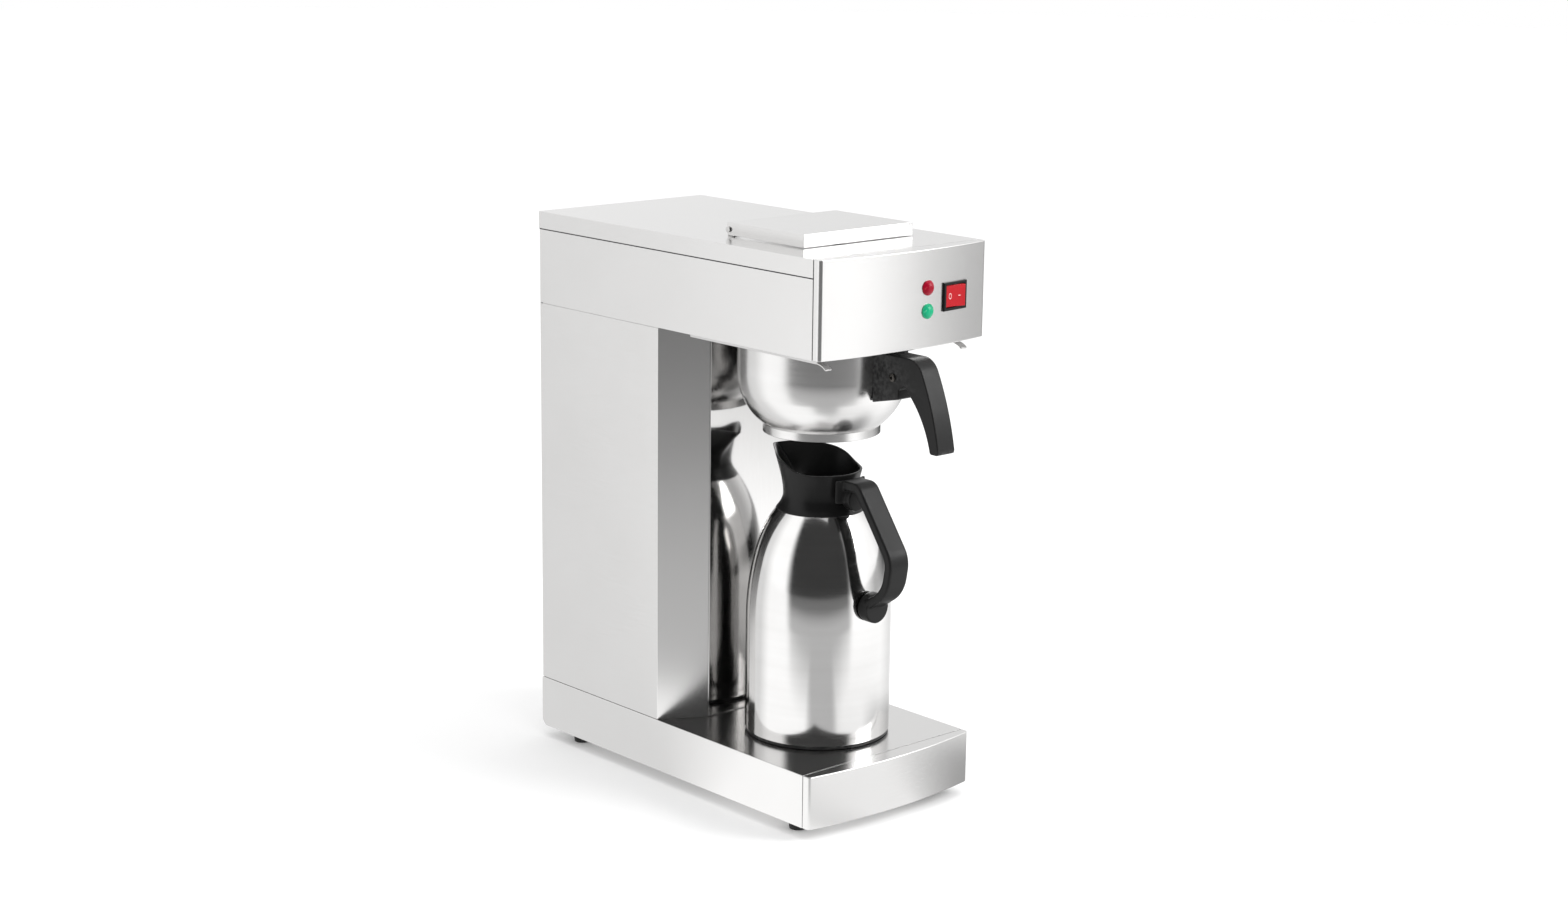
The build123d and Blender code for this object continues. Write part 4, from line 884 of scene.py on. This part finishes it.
def makeStopper():
    size = stopperLook
    low, high = corners("brew_through_stopper")
    r, top, hole = high.x, high.z, size["hole"]
    outline = [(hole, low.z)] + [(r - inset, low.z + rise) for inset, rise in size["foot"]]
    outline += [(r - inset, top - drop) for inset, drop in size["lip"]]
    outline += [(hole + out, top - drop) for out, drop in size["dish"]]
    piece = turned("stopper_cone", outline, middle("brew_through_stopper"), "brew_through_stopper", 128)
    return standIn(piece, "brew_through_stopper")


makeFunnelBowl()
makeCarafeShell()
makeFootRing()
makeStopper()
print("funnel, carafe and stopper turned")


# collar with its pouring beak

# heights are above the carafe's floor. A row of "grow" is (share of the way up to or from the waist, radius
# and reach past the waist's). rimLine is the rim's height from the handle's side to the beak, as (y, height
# past the front's for dip and start, past the rear's for the rest)
collarLook = {"wall": 2.4, "tip": 3.0, "tipThin": 0.7, "beakWall": 1.6, "reach": 66.0, "waistRadius": 34.0,
              "waistHeight": 222.0, "neckHeight": 209.6, "rimRadius": 42.0, "rearHeight": 262.0,
              "frontHeight": 247.0, "tipHeight": 252.0, "bore": 30.9, "mouthRise": 4.0, "lipRound": 0.7,
              "grow": ((0.45, 2.4, 2.8), (0.3, 0.9, 3.5), (0.62, 3.8, 15)), "waistReach": 0.8,
              "neckReach": 0.2, "crowding": 0.42, "around": 160, "rows": 56}
rimLine = {"flat": -18, "dip": (-7, 1.6), "start": (3, 5.6), "rise": (20, -3.2), "crest": (40, -0.2),
           "fall": (58, -1.6), "end": 80}


def beakRadius(turn, radius, reach, tip):       # a circle drawn out to a beak, turn measured from +Y
    turn = abs((turn + math.pi) % math.tau - math.pi)
    centre = reach - tip
    if centre <= radius - tip + 0.001:
        return radius
    flank = math.acos((radius - tip) / centre)
    touch = math.atan2(tip * math.sin(flank), centre + tip * math.cos(flank))
    if turn >= flank:
        return radius
    if turn >= touch:
        return radius / math.cos(flank - turn)
    return centre * math.cos(turn) + math.sqrt(max(tip ** 2 - (centre * math.sin(turn)) ** 2, 0))


def smoothLine(stations, value):        # a smooth curve through (value, a, b) stations
    i = max(0, min(len(stations) - 2, sum(1 for s in stations if s[0] <= value) - 1))
    p0, p1, p2, p3 = (stations[max(0, min(len(stations) - 1, i + k))] for k in (-1, 0, 1, 2))
    t = max(0.0, min(1.0, (value - p1[0]) / (p2[0] - p1[0])))
    found = []
    for k in (1, 2):
        span = p2[0] - p1[0]
        slope1 = (p2[k] - p0[k]) / max(p2[0] - p0[0], 1e-6) * span
        slope2 = (p3[k] - p1[k]) / max(p3[0] - p1[0], 1e-6) * span
        found.append((2 * t ** 3 - 3 * t ** 2 + 1) * p1[k] + (t ** 3 - 2 * t ** 2 + t) * slope1
                     + (3 * t ** 2 - 2 * t ** 3) * p2[k] + (t ** 3 - t ** 2) * slope2)
    return found


def rimHeight(y, floor):        # height of the rim's edge, y measured from the carafe's axis
    size = collarLook
    front, rim, tip = (floor + size[k] for k in ("frontHeight", "rearHeight", "tipHeight"))
    if y <= rimLine["flat"]:
        return front
    dip, start = ((along, front + up) for along, up in (rimLine[k] for k in ("dip", "start")))
    rise, crest, fall = ((along, rim + up) for along, up in (rimLine[k] for k in ("rise", "crest", "fall")))
    edge = arcThrough((rimLine["flat"], front), dip, start, 20)
    edge += arcThrough(start, rise, crest, 40)[1:] + arcThrough(crest, fall, (rimLine["end"], tip), 30)[1:]
    for a, b in zip(edge, edge[1:]):
        if a[0] <= y <= b[0]:
            return a[1] + (b[1] - a[1]) * (y - a[0]) / (b[0] - a[0])
    return tip


def makeCollar():
    size = collarLook
    axis = middle("carafe_shell")
    floor = corners("carafe_foot_ring")[0].z
    low, waist, rim = (floor + size[k] for k in ("neckHeight", "waistHeight", "rearHeight"))
    r, neck = size["waistRadius"], carafeLook["neckRadius"]
    (belowUp, *below), (aboveUp, *above), (flareUp, *flare) = size["grow"]
    stations = [(low, neck, neck + size["neckReach"]),
                (low + belowUp * (waist - low), r + below[0], r + below[1]),
                (waist, r, r + size["waistReach"]),
                (waist + aboveUp * (rim - waist), r + above[0], r + above[1]),
                (waist + flareUp * (rim - waist), r + flare[0], r + flare[1]),
                (rim, size["rimRadius"], size["reach"])]
    around, rows = size["around"], size["rows"]

    def outerAt(turn, z):
        radius, reach = smoothLine(stations, z)
        return beakRadius(turn, radius, reach, size["tip"])

    def innerAt(turn, z):
        radius, reach = smoothLine(stations, z)
        return beakRadius(turn, radius - size["wall"], reach - size["beakWall"] * size["wall"],
                          size["tip"] * size["tipThin"])

    def topAt(turn, radiusAt):          # where this side of the wall meets the rim's edge
        bottom, top = waist, rim
        for _ in range(30):
            z = (bottom + top) / 2
            if z < rimHeight(radiusAt(turn, z) * math.cos(turn), floor):
                bottom = z
            else:
                top = z
        return bottom

    mouth, lip, bore = waist + size["mouthRise"], size["lipRound"], size["bore"]
    columns = []
    for k in range(around):
        share = k / around              # the beak's columns stand closer together
        turn = math.tau * share - size["crowding"] * math.sin(math.tau * share)
        outTop, inTop = topAt(turn, outerAt), topAt(turn, innerAt)
        heights = [low + (outTop - lip - low) * (i / rows) for i in range(rows + 1)]
        column = [(outerAt(turn, z), z) for z in heights]
        outer, inner = outerAt(turn, outTop), innerAt(turn, inTop)
        for over, z in ((0.1, outTop - 0.25 * lip), (0.35, outTop + 0.35 * (inTop - outTop)),
                        (0.65, outTop + 0.65 * (inTop - outTop)), (0.9, inTop - 0.25 * lip)):
            column.append((outer - over * (outer - inner), z))
        heights = [inTop - lip + (mouth + 2 - inTop + lip) * (i / rows) for i in range(rows + 1)]
        column += [(innerAt(turn, z), z) for z in heights]
        column += [(bore + 1.2, mouth + 0.4), (bore + 0.3, mouth - 0.6), (bore, mouth - 2), (bore, low)]
        columns.append([(out * math.sin(turn), out * math.cos(turn) + axis.y, z) for out, z in column])
    deep = len(columns[0])
    points = [point for column in columns for point in column]
    faces = [(a * deep + i, a * deep + (i + 1) % deep, b * deep + (i + 1) % deep, b * deep + i)
             for a, b in ((k, (k + 1) % around) for k in range(around)) for i in range(deep)]
    piece = closeUp(meshPiece("pouring_collar", points, faces))
    shade(piece, 50, weighted=False)
    return standIn(piece, "carafe_collar")


makeCollar()
print("collar shaped")


# moulded handles: the carafe's is grown together from blocks and smoothed, the funnel's is one outline

def voxelled(piece, voxel):
    remesh = piece.modifiers.new("grow", "REMESH")
    remesh.mode = "VOXEL"
    remesh.voxel_size = voxel * mm
    return settle(piece)


def strapAlong(name, path, width, thickness, corner):   # path in (y, z), with the strap's width across it
    side, face = width / 2, thickness / 2
    section = rounded([(-side, 0), (-side, face), (side, face), (side, 0)], corner, 5)[1:-1]
    section += [(-x, -t) for x, t in section]
    count = len(section)
    points, faces = [], []
    for i, spot in enumerate(path):
        a, b = Vector(path[max(0, i - 1)]), Vector(path[min(len(path) - 1, i + 1)])
        along = (b - a).normalized()
        out = Vector((-along.y, along.x))
        points += [(x, spot[0] + out.x * t, spot[1] + out.y * t) for x, t in section]
    last = len(path) - 1
    for a in range(0, last * count, count):             # first point of each section
        faces += [(a + k, a + (k + 1) % count, a + (k + 1) % count + count, a + k + count)
                  for k in range(count)]
    faces += [tuple(range(count)), tuple(range(last * count, len(path) * count))[::-1]]
    return closeUp(meshPiece(name, points, faces))


carafeHandle = {"width": 24.0, "thickness": 8.5, "corner": 2.2, "reach": 105.5, "top": 243.5, "mid": 174.0,
                "root": 38.0, "shoulder": 58.5, "outRise": 6.0, "inward": 9.5, "inDrop": 24.0, "end": 69.0,
                "bends": (8.0, 22.0, 30.0), "boss": 13.8, "bossHeight": 131.0, "bossFrom": 77.0,
                "bossTo": 60.0, "discRadius": 11.0, "discHeight": 226.0, "discFrom": 49.0, "discTo": 36.0,
                "saddleLow": 222.5,
                "saddleWidth": 36.0, "saddleThick": 3.2, "saddleDepth": 5.0, "saddleTaper": 0.9,
                "gap": 0.35, "roomTop": 190.0, "neckRoom": 205.0, "overshoot": 5.0, "voxel": 0.62,
                "relaxRounds": 14}


def makeCarafeHandle():
    size = carafeHandle
    axis = middle("carafe_shell").y
    floor = corners("carafe_foot_ring")[0].z
    body, neck = corners("carafe_shell")[1].x, carafeLook["neckRadius"]
    top, mid, low = (floor + size[k] for k in ("top", "mid", "bossHeight"))
    t, reach = size["thickness"], axis - size["reach"]
    route = [(axis - size["root"], top - t / 2), (axis - size["shoulder"], top - t / 2),
             (reach + t / 2, mid + size["outRise"]), (reach + size["inward"], mid - size["inDrop"]),
             (axis - size["end"], low + 1)]
    strap = strapAlong("strap", rounded(route, size["bends"], 18), size["width"], t, size["corner"])
    boss = rodBetween("boss", (0, axis - size["bossFrom"], low), (0, axis - size["bossTo"], low),
                      size["boss"], 64)
    high = floor + size["discHeight"]
    disc = rodBetween("disc", (0, axis - size["discFrom"], high), (0, axis - size["discTo"], high),
                      size["discRadius"], 56)
    band = neck + size["saddleThick"]                   # the saddle lies on the collar's foot
    arc = math.asin(size["saddleWidth"] / 2 / band)
    outer = [(band * math.sin(a), axis - band * math.cos(a)) for a in (arc * (i / 12 - 1) for i in range(25))]
    inner = [(x * size["saddleTaper"], y + size["saddleDepth"]) for x, y in reversed(outer)]
    saddle = prism("saddle", outer + inner, floor + size["saddleLow"], top)
    grip = voxelled(joined("carafe_grip", [strap, boss, disc, saddle]), size["voxel"])
    gap = size["gap"]
    cut(grip, rodBetween("room", (0, axis, floor), (0, axis, floor + size["roomTop"]), body + gap, 128))
    cut(grip, rodBetween("room", (0, axis, floor + size["neckRoom"]), (0, axis, top + size["overshoot"]),
                         neck + gap, 128))
    voxelled(grip, size["voxel"])
    relax = grip.modifiers.new("relax", "CORRECTIVE_SMOOTH")
    relax.factor = 0.5
    relax.iterations = size["relaxRounds"]
    relax.smooth_type = "LENGTH_WEIGHTED"
    relax.use_only_smooth = True
    settle(grip)
    grip.data.shade_smooth()
    return standIn(grip, "carafe_handle")


# points of the side outline are (forward of the bowl's front wall, below the handle's top)
funnelHandle = {"width": 21.0, "bracketDrop": 46.5, "bracketIn": 6.0, "tipDrop": 80.0, "edge": 1.6,
                "shoulder": ((40.5, 0), (52.2, 2.9), (58.5, 9.6)), "outside": (71.3, 40), "tipRise": 3.0,
                "tipRound": ((0.8, 0.7), (2.4, 0), (9.2, 0), (10.6, 1.2)), "inside": (60.5, 54),
                "web": ((43, 31), (36.5, 26.5), (31.3, 30)),
                "bracket": ((31.3, 37), (30.6, 38.4), (29.4, 38.6)),
                "boltForward": 24.0, "boltDrop": 19.5, "boltRadius": 2.8, "room": 20.0, "fit": 0.12}


def makeFunnelHandle():
    size = funnelHandle
    low, high = corners("funnel_handle")
    bowl = corners("funnel_bowl")[1].x - funnelLook["rimWidth"]
    axis = middle("funnel_bowl").y
    front = axis - bowl                                 # the bowl's front wall
    top, tip, foot = high.z, low.y, high.z - size["tipDrop"]

    def at(spots):
        return [(front - forward, top - drop) for forward, drop in spots]

    outline = [(front, top)] + arcThrough(*at(size["shoulder"]), 10)
    outline += arcThrough(outline[-1], *at([size["outside"]]), (tip, foot + size["tipRise"]), 24)[1:]
    outline += [(tip + back, foot + rise) for back, rise in size["tipRound"]]
    web = at(size["web"])
    outline += arcThrough(outline[-1], *at([size["inside"]]), web[0], 24)[1:] + arcThrough(*web, 12)[1:]
    outline += at(size["bracket"]) + at([(-size["bracketIn"], size["bracketDrop"]), (-size["bracketIn"], 0)])
    half = size["width"] / 2
    arm = prism("funnel_grip", outline, -half, half, across=True)
    bevelled(arm, size["edge"], 4, 50)
    room = size["room"]                                 # how far the cutters reach past the handle
    cut(arm, rodBetween("room", (0, axis, low.z - room), (0, axis, top + room), bowl + size["fit"], 128))
    y, z = front - size["boltForward"], top - size["boltDrop"]
    cut(arm, rodBetween("room", (-room, y, z), (room, y, z), size["boltRadius"], 32))
    shade(arm, 30)
    return standIn(arm, "funnel_handle")


boltLook = {"headRadius": 3.6, "headHeight": 2.0, "crown": 0.7, "crownWide": 0.62, "crownDrop": 0.12,
            "socket": 1.7, "socketDepth": 1.4, "shank": 2.6, "shankLength": 8.0, "nutRadius": 4.2,
            "nutEdge": 0.4, "tipPast": 2.2}


def makeBolt():                 # button head on the left, plain nut on the right
    size = boltLook
    spot, tip = middle("handle_bolt"), corners("handle_bolt")[1].x
    half, shank, length = funnelHandle["width"] / 2, size["shank"], size["shankLength"]
    r, tall = size["headRadius"], size["headHeight"]
    outline = [(0, -half - length), (shank, -half - length), (shank, 0), (r, 0)]
    crown = (r * size["crownWide"], tall - size["crownDrop"])
    outline += arcThrough((r, tall - size["crown"]), crown, (0, tall), 12)
    head = turned("head", outline, (0, 0, 0), "handle_bolt", 48)
    socket = rodBetween("socket", (0, 0, tall - size["socketDepth"]), (0, 0, tall + 2), size["socket"], 6)
    cut(head, socket)
    placed(head, Matrix.Translation((-half, spot.y, spot.z)) @ Matrix.Rotation(-math.pi / 2, 4, "Y"))
    nut = rodBetween("nut", (half, spot.y, spot.z), (tip, spot.y, spot.z), size["nutRadius"], 6)
    bevelled(nut, size["nutEdge"], 2, 40)
    past = half + size["tipPast"]
    end = rodBetween("end", (half - length, spot.y, spot.z), (past, spot.y, spot.z), shank, 32)
    bolt = joined("handle_bolt_and_nut", [head, nut, end])
    shade(bolt, 30, weighted=False)
    standIn(bolt, "handle_bolt")
    bolt.data.materials[0] = darkBolt


darkBolt = sheetSteel("darkBolt", (1.0, 1.0, 1.0), 0.34, light=0.07)
makeCarafeHandle()
makeFunnelHandle()
makeBolt()
print("handles moulded")


# switch rocker and lamps

rockerLook = {"width": 22.8, "height": 19.4, "crest": 1.3, "wing": 3.0, "hollow": 1.6, "pivot": 3.5,
              "tilt": 9.0, "round": 0.7, "taper": 5.0, "edgeDepth": 2.0, "footDepth": 7.0, "markRadius": 2.3,
              "markWall": 0.55, "markNarrow": 0.8, "markTall": 1.15, "markStand": 0.09, "markSink": 0.1,
              "dash": 3.2, "dashWide": 0.7, "dashSink": 0.55}


def makeRocker():
    size = rockerLook
    z = middle("switch_housing").z
    place = onFront(switchPlace["x"], z) @ Matrix.Translation((0, size["pivot"], 0)) \
        @ Matrix.Rotation(-math.radians(size["tilt"]), 4, "Z") @ Matrix.Translation((0, -size["pivot"], 0))
    half, tall = size["width"] / 2, size["height"] / 2

    def pad(x):                                         # two hollowed pads that meet in a crest
        return -size["crest"] - (size["wing"] - size["crest"]) * (abs(x) / half) ** size["hollow"]

    steps = 12
    top = [(x, pad(x)) for x in (half * (i / steps - 1) for i in range(2 * steps + 1))]
    foot, shallow, deep = half - size["taper"], size["edgeDepth"], size["footDepth"]
    outline = top + [(half, shallow), (foot, deep), (-foot, deep), (-half, shallow)]
    key = prism("power_rocker", outline, -tall, tall)
    bevelled(key, size["round"], 3, 50)
    shade(key, 40)
    placed(key, place)
    standIn(key, "switch_rocker")

    inner, outer = size["markRadius"] - size["markWall"], size["markRadius"]
    sunk, stand = size["markSink"], -size["markStand"]
    rows, sides = [], 40
    for radius, lift in ((inner, sunk), (inner, stand), (outer, stand), (outer, sunk)):
        for turn in (math.tau * k / sides for k in range(sides)):
            x = radius * size["markNarrow"] * math.cos(turn) - half / 2
            rows.append((x, pad(x) + lift, radius * size["markTall"] * math.sin(turn)))
    faces = []
    for a, b in ((0, 1), (1, 2), (2, 3), (3, 0)):       # the four walls of the ring
        faces += [(a * sides + k, a * sides + (k + 1) % sides, b * sides + (k + 1) % sides, b * sides + k)
                  for k in range(sides)]
    ring = closeUp(meshPiece("off_mark", rows, faces))
    level, length, wide = pad(half / 2), size["dash"] / 2, size["dashWide"] / 2
    dash = box("on_mark", (half / 2 - length, level - sunk, -wide),
               (half / 2 + length, level + size["dashSink"], wide))
    marks = placed(joined("rocker_marks", [ring, dash]), place)
    shade(marks, 40, weighted=False)
    addOn(marks, "switch_rocker", "white_plastic", markInk)


lampLook = {"radius": 6.75, "height": 4.2, "flange": 0.8, "shoulder": 1.5, "inset": 0.7, "crown": 0.55,
            "crownDrop": 0.75, "edge": 0.15}


def makeLamp(node):
    size = lampLook
    radius, height, flange, edge = (size[k] for k in ("radius", "height", "flange", "edge"))
    base = (radius - size["inset"], size["shoulder"])
    outline = [(0, 0), (radius, 0), (radius, flange), (radius - edge, flange + 2 * edge)]
    outline += arcThrough(base, (radius * size["crown"], height - size["crownDrop"]), (0, height), 26)
    lamp = turned(node + "_lens", outline, (0, 0, 0), node, 64)
    placed(lamp, onFront(switchPlace["lampX"], middle(node).z) @ Matrix.Rotation(math.pi / 2, 4, "X"))
    return standIn(lamp, node)


markInk = plastic("markInk", (0.8, 0.5, 0.5), (0.85, 0.6, 0.6), 0.4, worn=grey(0.8))
makeRocker()
makeLamp("heating_lamp")
makeLamp("ready_lamp")
print("rocker and lamps made")


# screws

screwSize = {"headRadius": 3.9, "headHeight": 2.0, "shankRadius": 2.0, "recess": 0.9}
shankLengths = {"rear_screws": 5.2, "rail_screws": 7.2}


def makeScrews():
    head = screwSize["headHeight"]
    middles = [((low + high) / 2, high.y - head) for low, high in islands("rear_screws")]
    screws("rear_pan_screws", "rear_screws", [(spot.x, seat, spot.z) for spot, seat in middles],
           (-math.pi / 2, 0, 0))
    middles = [((low + high) / 2, low.z + head) for low, high in islands("rail_screws")]
    screws("rail_pan_screws", "rail_screws", [(spot.x, spot.y, seat) for spot, seat in middles],
           (math.pi, 0, 0))


makeScrews()
print("screws driven")


# stage: camera, floor and soft studio light

view = {"place": (-1.6160, -1.7964, 0.8562), "turn": 42.31, "down": 12.96, "roll": 0.75, "lens": 61.56}


def makeCamera():
    data = bpy.data.cameras.new("camera")
    data.lens = view["lens"]
    data.sensor_width = 36
    data.clip_start = 0.05
    camera = linked("camera", data)
    turn, down, roll = (math.radians(view[k]) for k in ("turn", "down", "roll"))
    forward = Vector((math.sin(turn) * math.cos(down), math.cos(turn) * math.cos(down), -math.sin(down)))
    level = Vector((math.cos(turn), -math.sin(turn), 0))
    over = level.cross(forward)
    right = level * math.cos(roll) + over * math.sin(roll)
    up = over * math.cos(roll) - level * math.sin(roll)
    matrix = Matrix((right, up, -forward)).transposed().to_4x4()
    matrix.translation = Vector(view["place"])
    camera.matrix_world = matrix
    bpy.context.scene.camera = camera


# levels that polished steel sees: a pale sweep all round, brighter to the left and in front, dimmer to the
# right, and dark behind the viewer. Pairs are where a change starts and ends: round the horizon as the X or Y
# of the direction, or on the floor as a distance in metres
studio = {
    "sky": 1.08, "card": 0.05, "cardEdge": (0.5, 0.7), "cardTop": (0.97, 0.999),
    "left": 0.45, "leftEdge": (0.58, 0.8), "front": 0.6, "frontEdge": (-0.6, -0.1), "behind": (-0.3, 0.3),
    "right": 1.0, "rightEdge": (0.5, 0.88),
    "floorRadius": 12.0, "floorHub": (0.0, -0.12, 0.0), "floorTone": 0.93, "floorLit": 1.0,
    "frontNear": (0.2, 0.7), "rightNear": (0.22, 0.36), "rightFar": (0.9, 1.7),
    "nearStart": (0.24, 0.34), "nearEdge": (0.88, 0.97), "farStart": (0.35, 0.6), "farEdge": (0.55, 0.72),
    "fade": (0.8, 1.8), "nearLevel": 0.66, "farLevel": 0.24,
}


def viewSide():                 # level direction from the object to the viewer
    return Vector((view["place"][0], view["place"][1], 0)).normalized()


def roundAbout(tree, place, frontShare, rightShare):    # how much a place faces the viewer, and its level
    flat = vectorMath(tree, "NORMALIZE", vectorMath(tree, "MULTIPLY", place, (1, 1, 0)))
    facing = vectorMath(tree, "DOT_PRODUCT", flat, viewSide())
    across, along, _ = split(tree, flat)
    left = spread(tree, arithmetic(tree, "MULTIPLY", across, -1.0), *studio["leftEdge"], 0.0, studio["left"])
    front = arithmetic(tree, "MULTIPLY", spread(tree, across, *studio["frontEdge"], 0.0, studio["front"]),
                       spread(tree, along, *studio["behind"], 1.0, 0.0))
    front = arithmetic(tree, "MULTIPLY", front, frontShare)
    right = spread(tree, across, *studio["rightEdge"], 0.0, -studio["right"])
    right = arithmetic(tree, "MULTIPLY", right, rightShare)
    level = arithmetic(tree, "ADD", arithmetic(tree, "ADD", left, front), right)
    return facing, level


def makeWorld():
    world = bpy.data.worlds.new("studio")
    bpy.context.scene.world = world
    world.use_nodes = True
    tree = world.node_tree
    tree.nodes.clear()
    ray = treeNode(tree, "ShaderNodeTexCoord").outputs["Generated"]
    facing, level = roundAbout(tree, ray, 1.0, 0.2)
    height = split(tree, ray)["Z"]
    bright = arithmetic(tree, "ADD", level, studio["sky"])
    card = spread(tree, facing, *studio["cardEdge"], smooth=True)
    card = arithmetic(tree, "MULTIPLY", card, spread(tree, height, *studio["cardTop"], 1.0, 0.0, smooth=True))
    dimmed = arithmetic(tree, "MULTIPLY", card, arithmetic(tree, "SUBTRACT", studio["card"], bright))
    shaped = treeNode(tree, "ShaderNodeBackground", {"Strength": arithmetic(tree, "ADD", bright, dimmed)})
    plain = treeNode(tree, "ShaderNodeBackground", {"Strength": studio["sky"]})
    white = treeNode(tree, "ShaderNodeBackground", {"Strength": 1.0})
    for node in (shaped, plain, white):
        node.inputs["Color"].default_value = (1, 1, 1, 1)
    path = treeNode(tree, "ShaderNodeLightPath")
    first = treeNode(tree, "ShaderNodeMixShader", {0: path.outputs["Is Glossy Ray"], 1: plain, 2: shaped})
    second = treeNode(tree, "ShaderNodeMixShader", {0: path.outputs["Is Camera Ray"], 1: first, 2: white})
    treeNode(tree, "ShaderNodeOutputWorld", {"Surface": second})


def floorLevel(tree):           # what steel sees in the floor, dimmer towards the viewer
    place = objectPlace(tree)
    local = vectorMath(tree, "SUBTRACT", place, studio["floorHub"])
    distance = vectorMath(tree, "LENGTH", local)
    rightShare = arithmetic(tree, "MAXIMUM", spread(tree, distance, *studio["rightNear"], 0.75, 0.0),
                            spread(tree, distance, *studio["rightFar"]))
    frontShare = spread(tree, distance, *studio["frontNear"], 0.4, 1.0)
    facing, level = roundAbout(tree, local, frontShare, rightShare)
    bright = arithmetic(tree, "ADD", level, studio["floorLit"])
    ahead = vectorMath(tree, "DOT_PRODUCT", place, viewSide())
    far = arithmetic(tree, "MULTIPLY", spread(tree, ahead, *studio["farStart"]),
                     spread(tree, facing, *studio["farEdge"], smooth=True))
    near = arithmetic(tree, "MULTIPLY", spread(tree, ahead, *studio["nearStart"]),
                      spread(tree, facing, *studio["nearEdge"], smooth=True))
    dim = arithmetic(tree, "MAXIMUM", far, near)
    deep = spread(tree, ahead, *studio["fade"], studio["nearLevel"], studio["farLevel"])
    change = arithmetic(tree, "MULTIPLY", dim, arithmetic(tree, "SUBTRACT", deep, bright))
    return arithmetic(tree, "ADD", bright, change)


def makeFloor():
    work = bmesh.new()
    bmesh.ops.create_circle(work, cap_ends=True, segments=96, radius=studio["floorRadius"])
    floor = pieceFrom(work, "floor")
    floor.location.z = -0.5 * mm                        # just clear of the feet
    material = bpy.data.materials.new("paleFloor")
    material.use_nodes = True
    tree = material.node_tree
    tree.nodes.clear()
    plain = treeNode(tree, "ShaderNodeBsdfDiffuse")
    plain.inputs["Color"].default_value = (studio["floorTone"],) * 3 + (1,)
    lit = treeNode(tree, "ShaderNodeEmission", {"Strength": floorLevel(tree)})
    lit.inputs["Color"].default_value = (1, 1, 1, 1)
    path = treeNode(tree, "ShaderNodeLightPath")
    mix = treeNode(tree, "ShaderNodeMixShader", {0: path.outputs["Is Glossy Ray"], 1: plain, 2: lit})
    treeNode(tree, "ShaderNodeOutputMaterial", {"Surface": mix})
    floor.data.materials.append(material)


aimPoint = Vector((0, 0, 0.25))
lights = {
    "keyLight": {"place": (1.5, -2.0, 1.7), "size": 1.3, "power": 42.0},
    "topLight": {"place": (-0.4, -0.3, 2.6), "size": 2.0, "power": 9.0},
}


def makeLights():
    for name, look in lights.items():
        data = bpy.data.lights.new(name, "AREA")
        data.shape = "SQUARE"
        data.size = look["size"]
        data.energy = look["power"]
        lamp = linked(name, data)
        lamp.location = look["place"]
        aim = aimPoint - lamp.location
        lamp.rotation_euler = aim.to_track_quat("-Z", "Y").to_euler()


makeCamera()
makeWorld()
makeFloor()
makeLights()
bpy.context.scene.view_settings.view_transform = "Standard"
print("stage set")
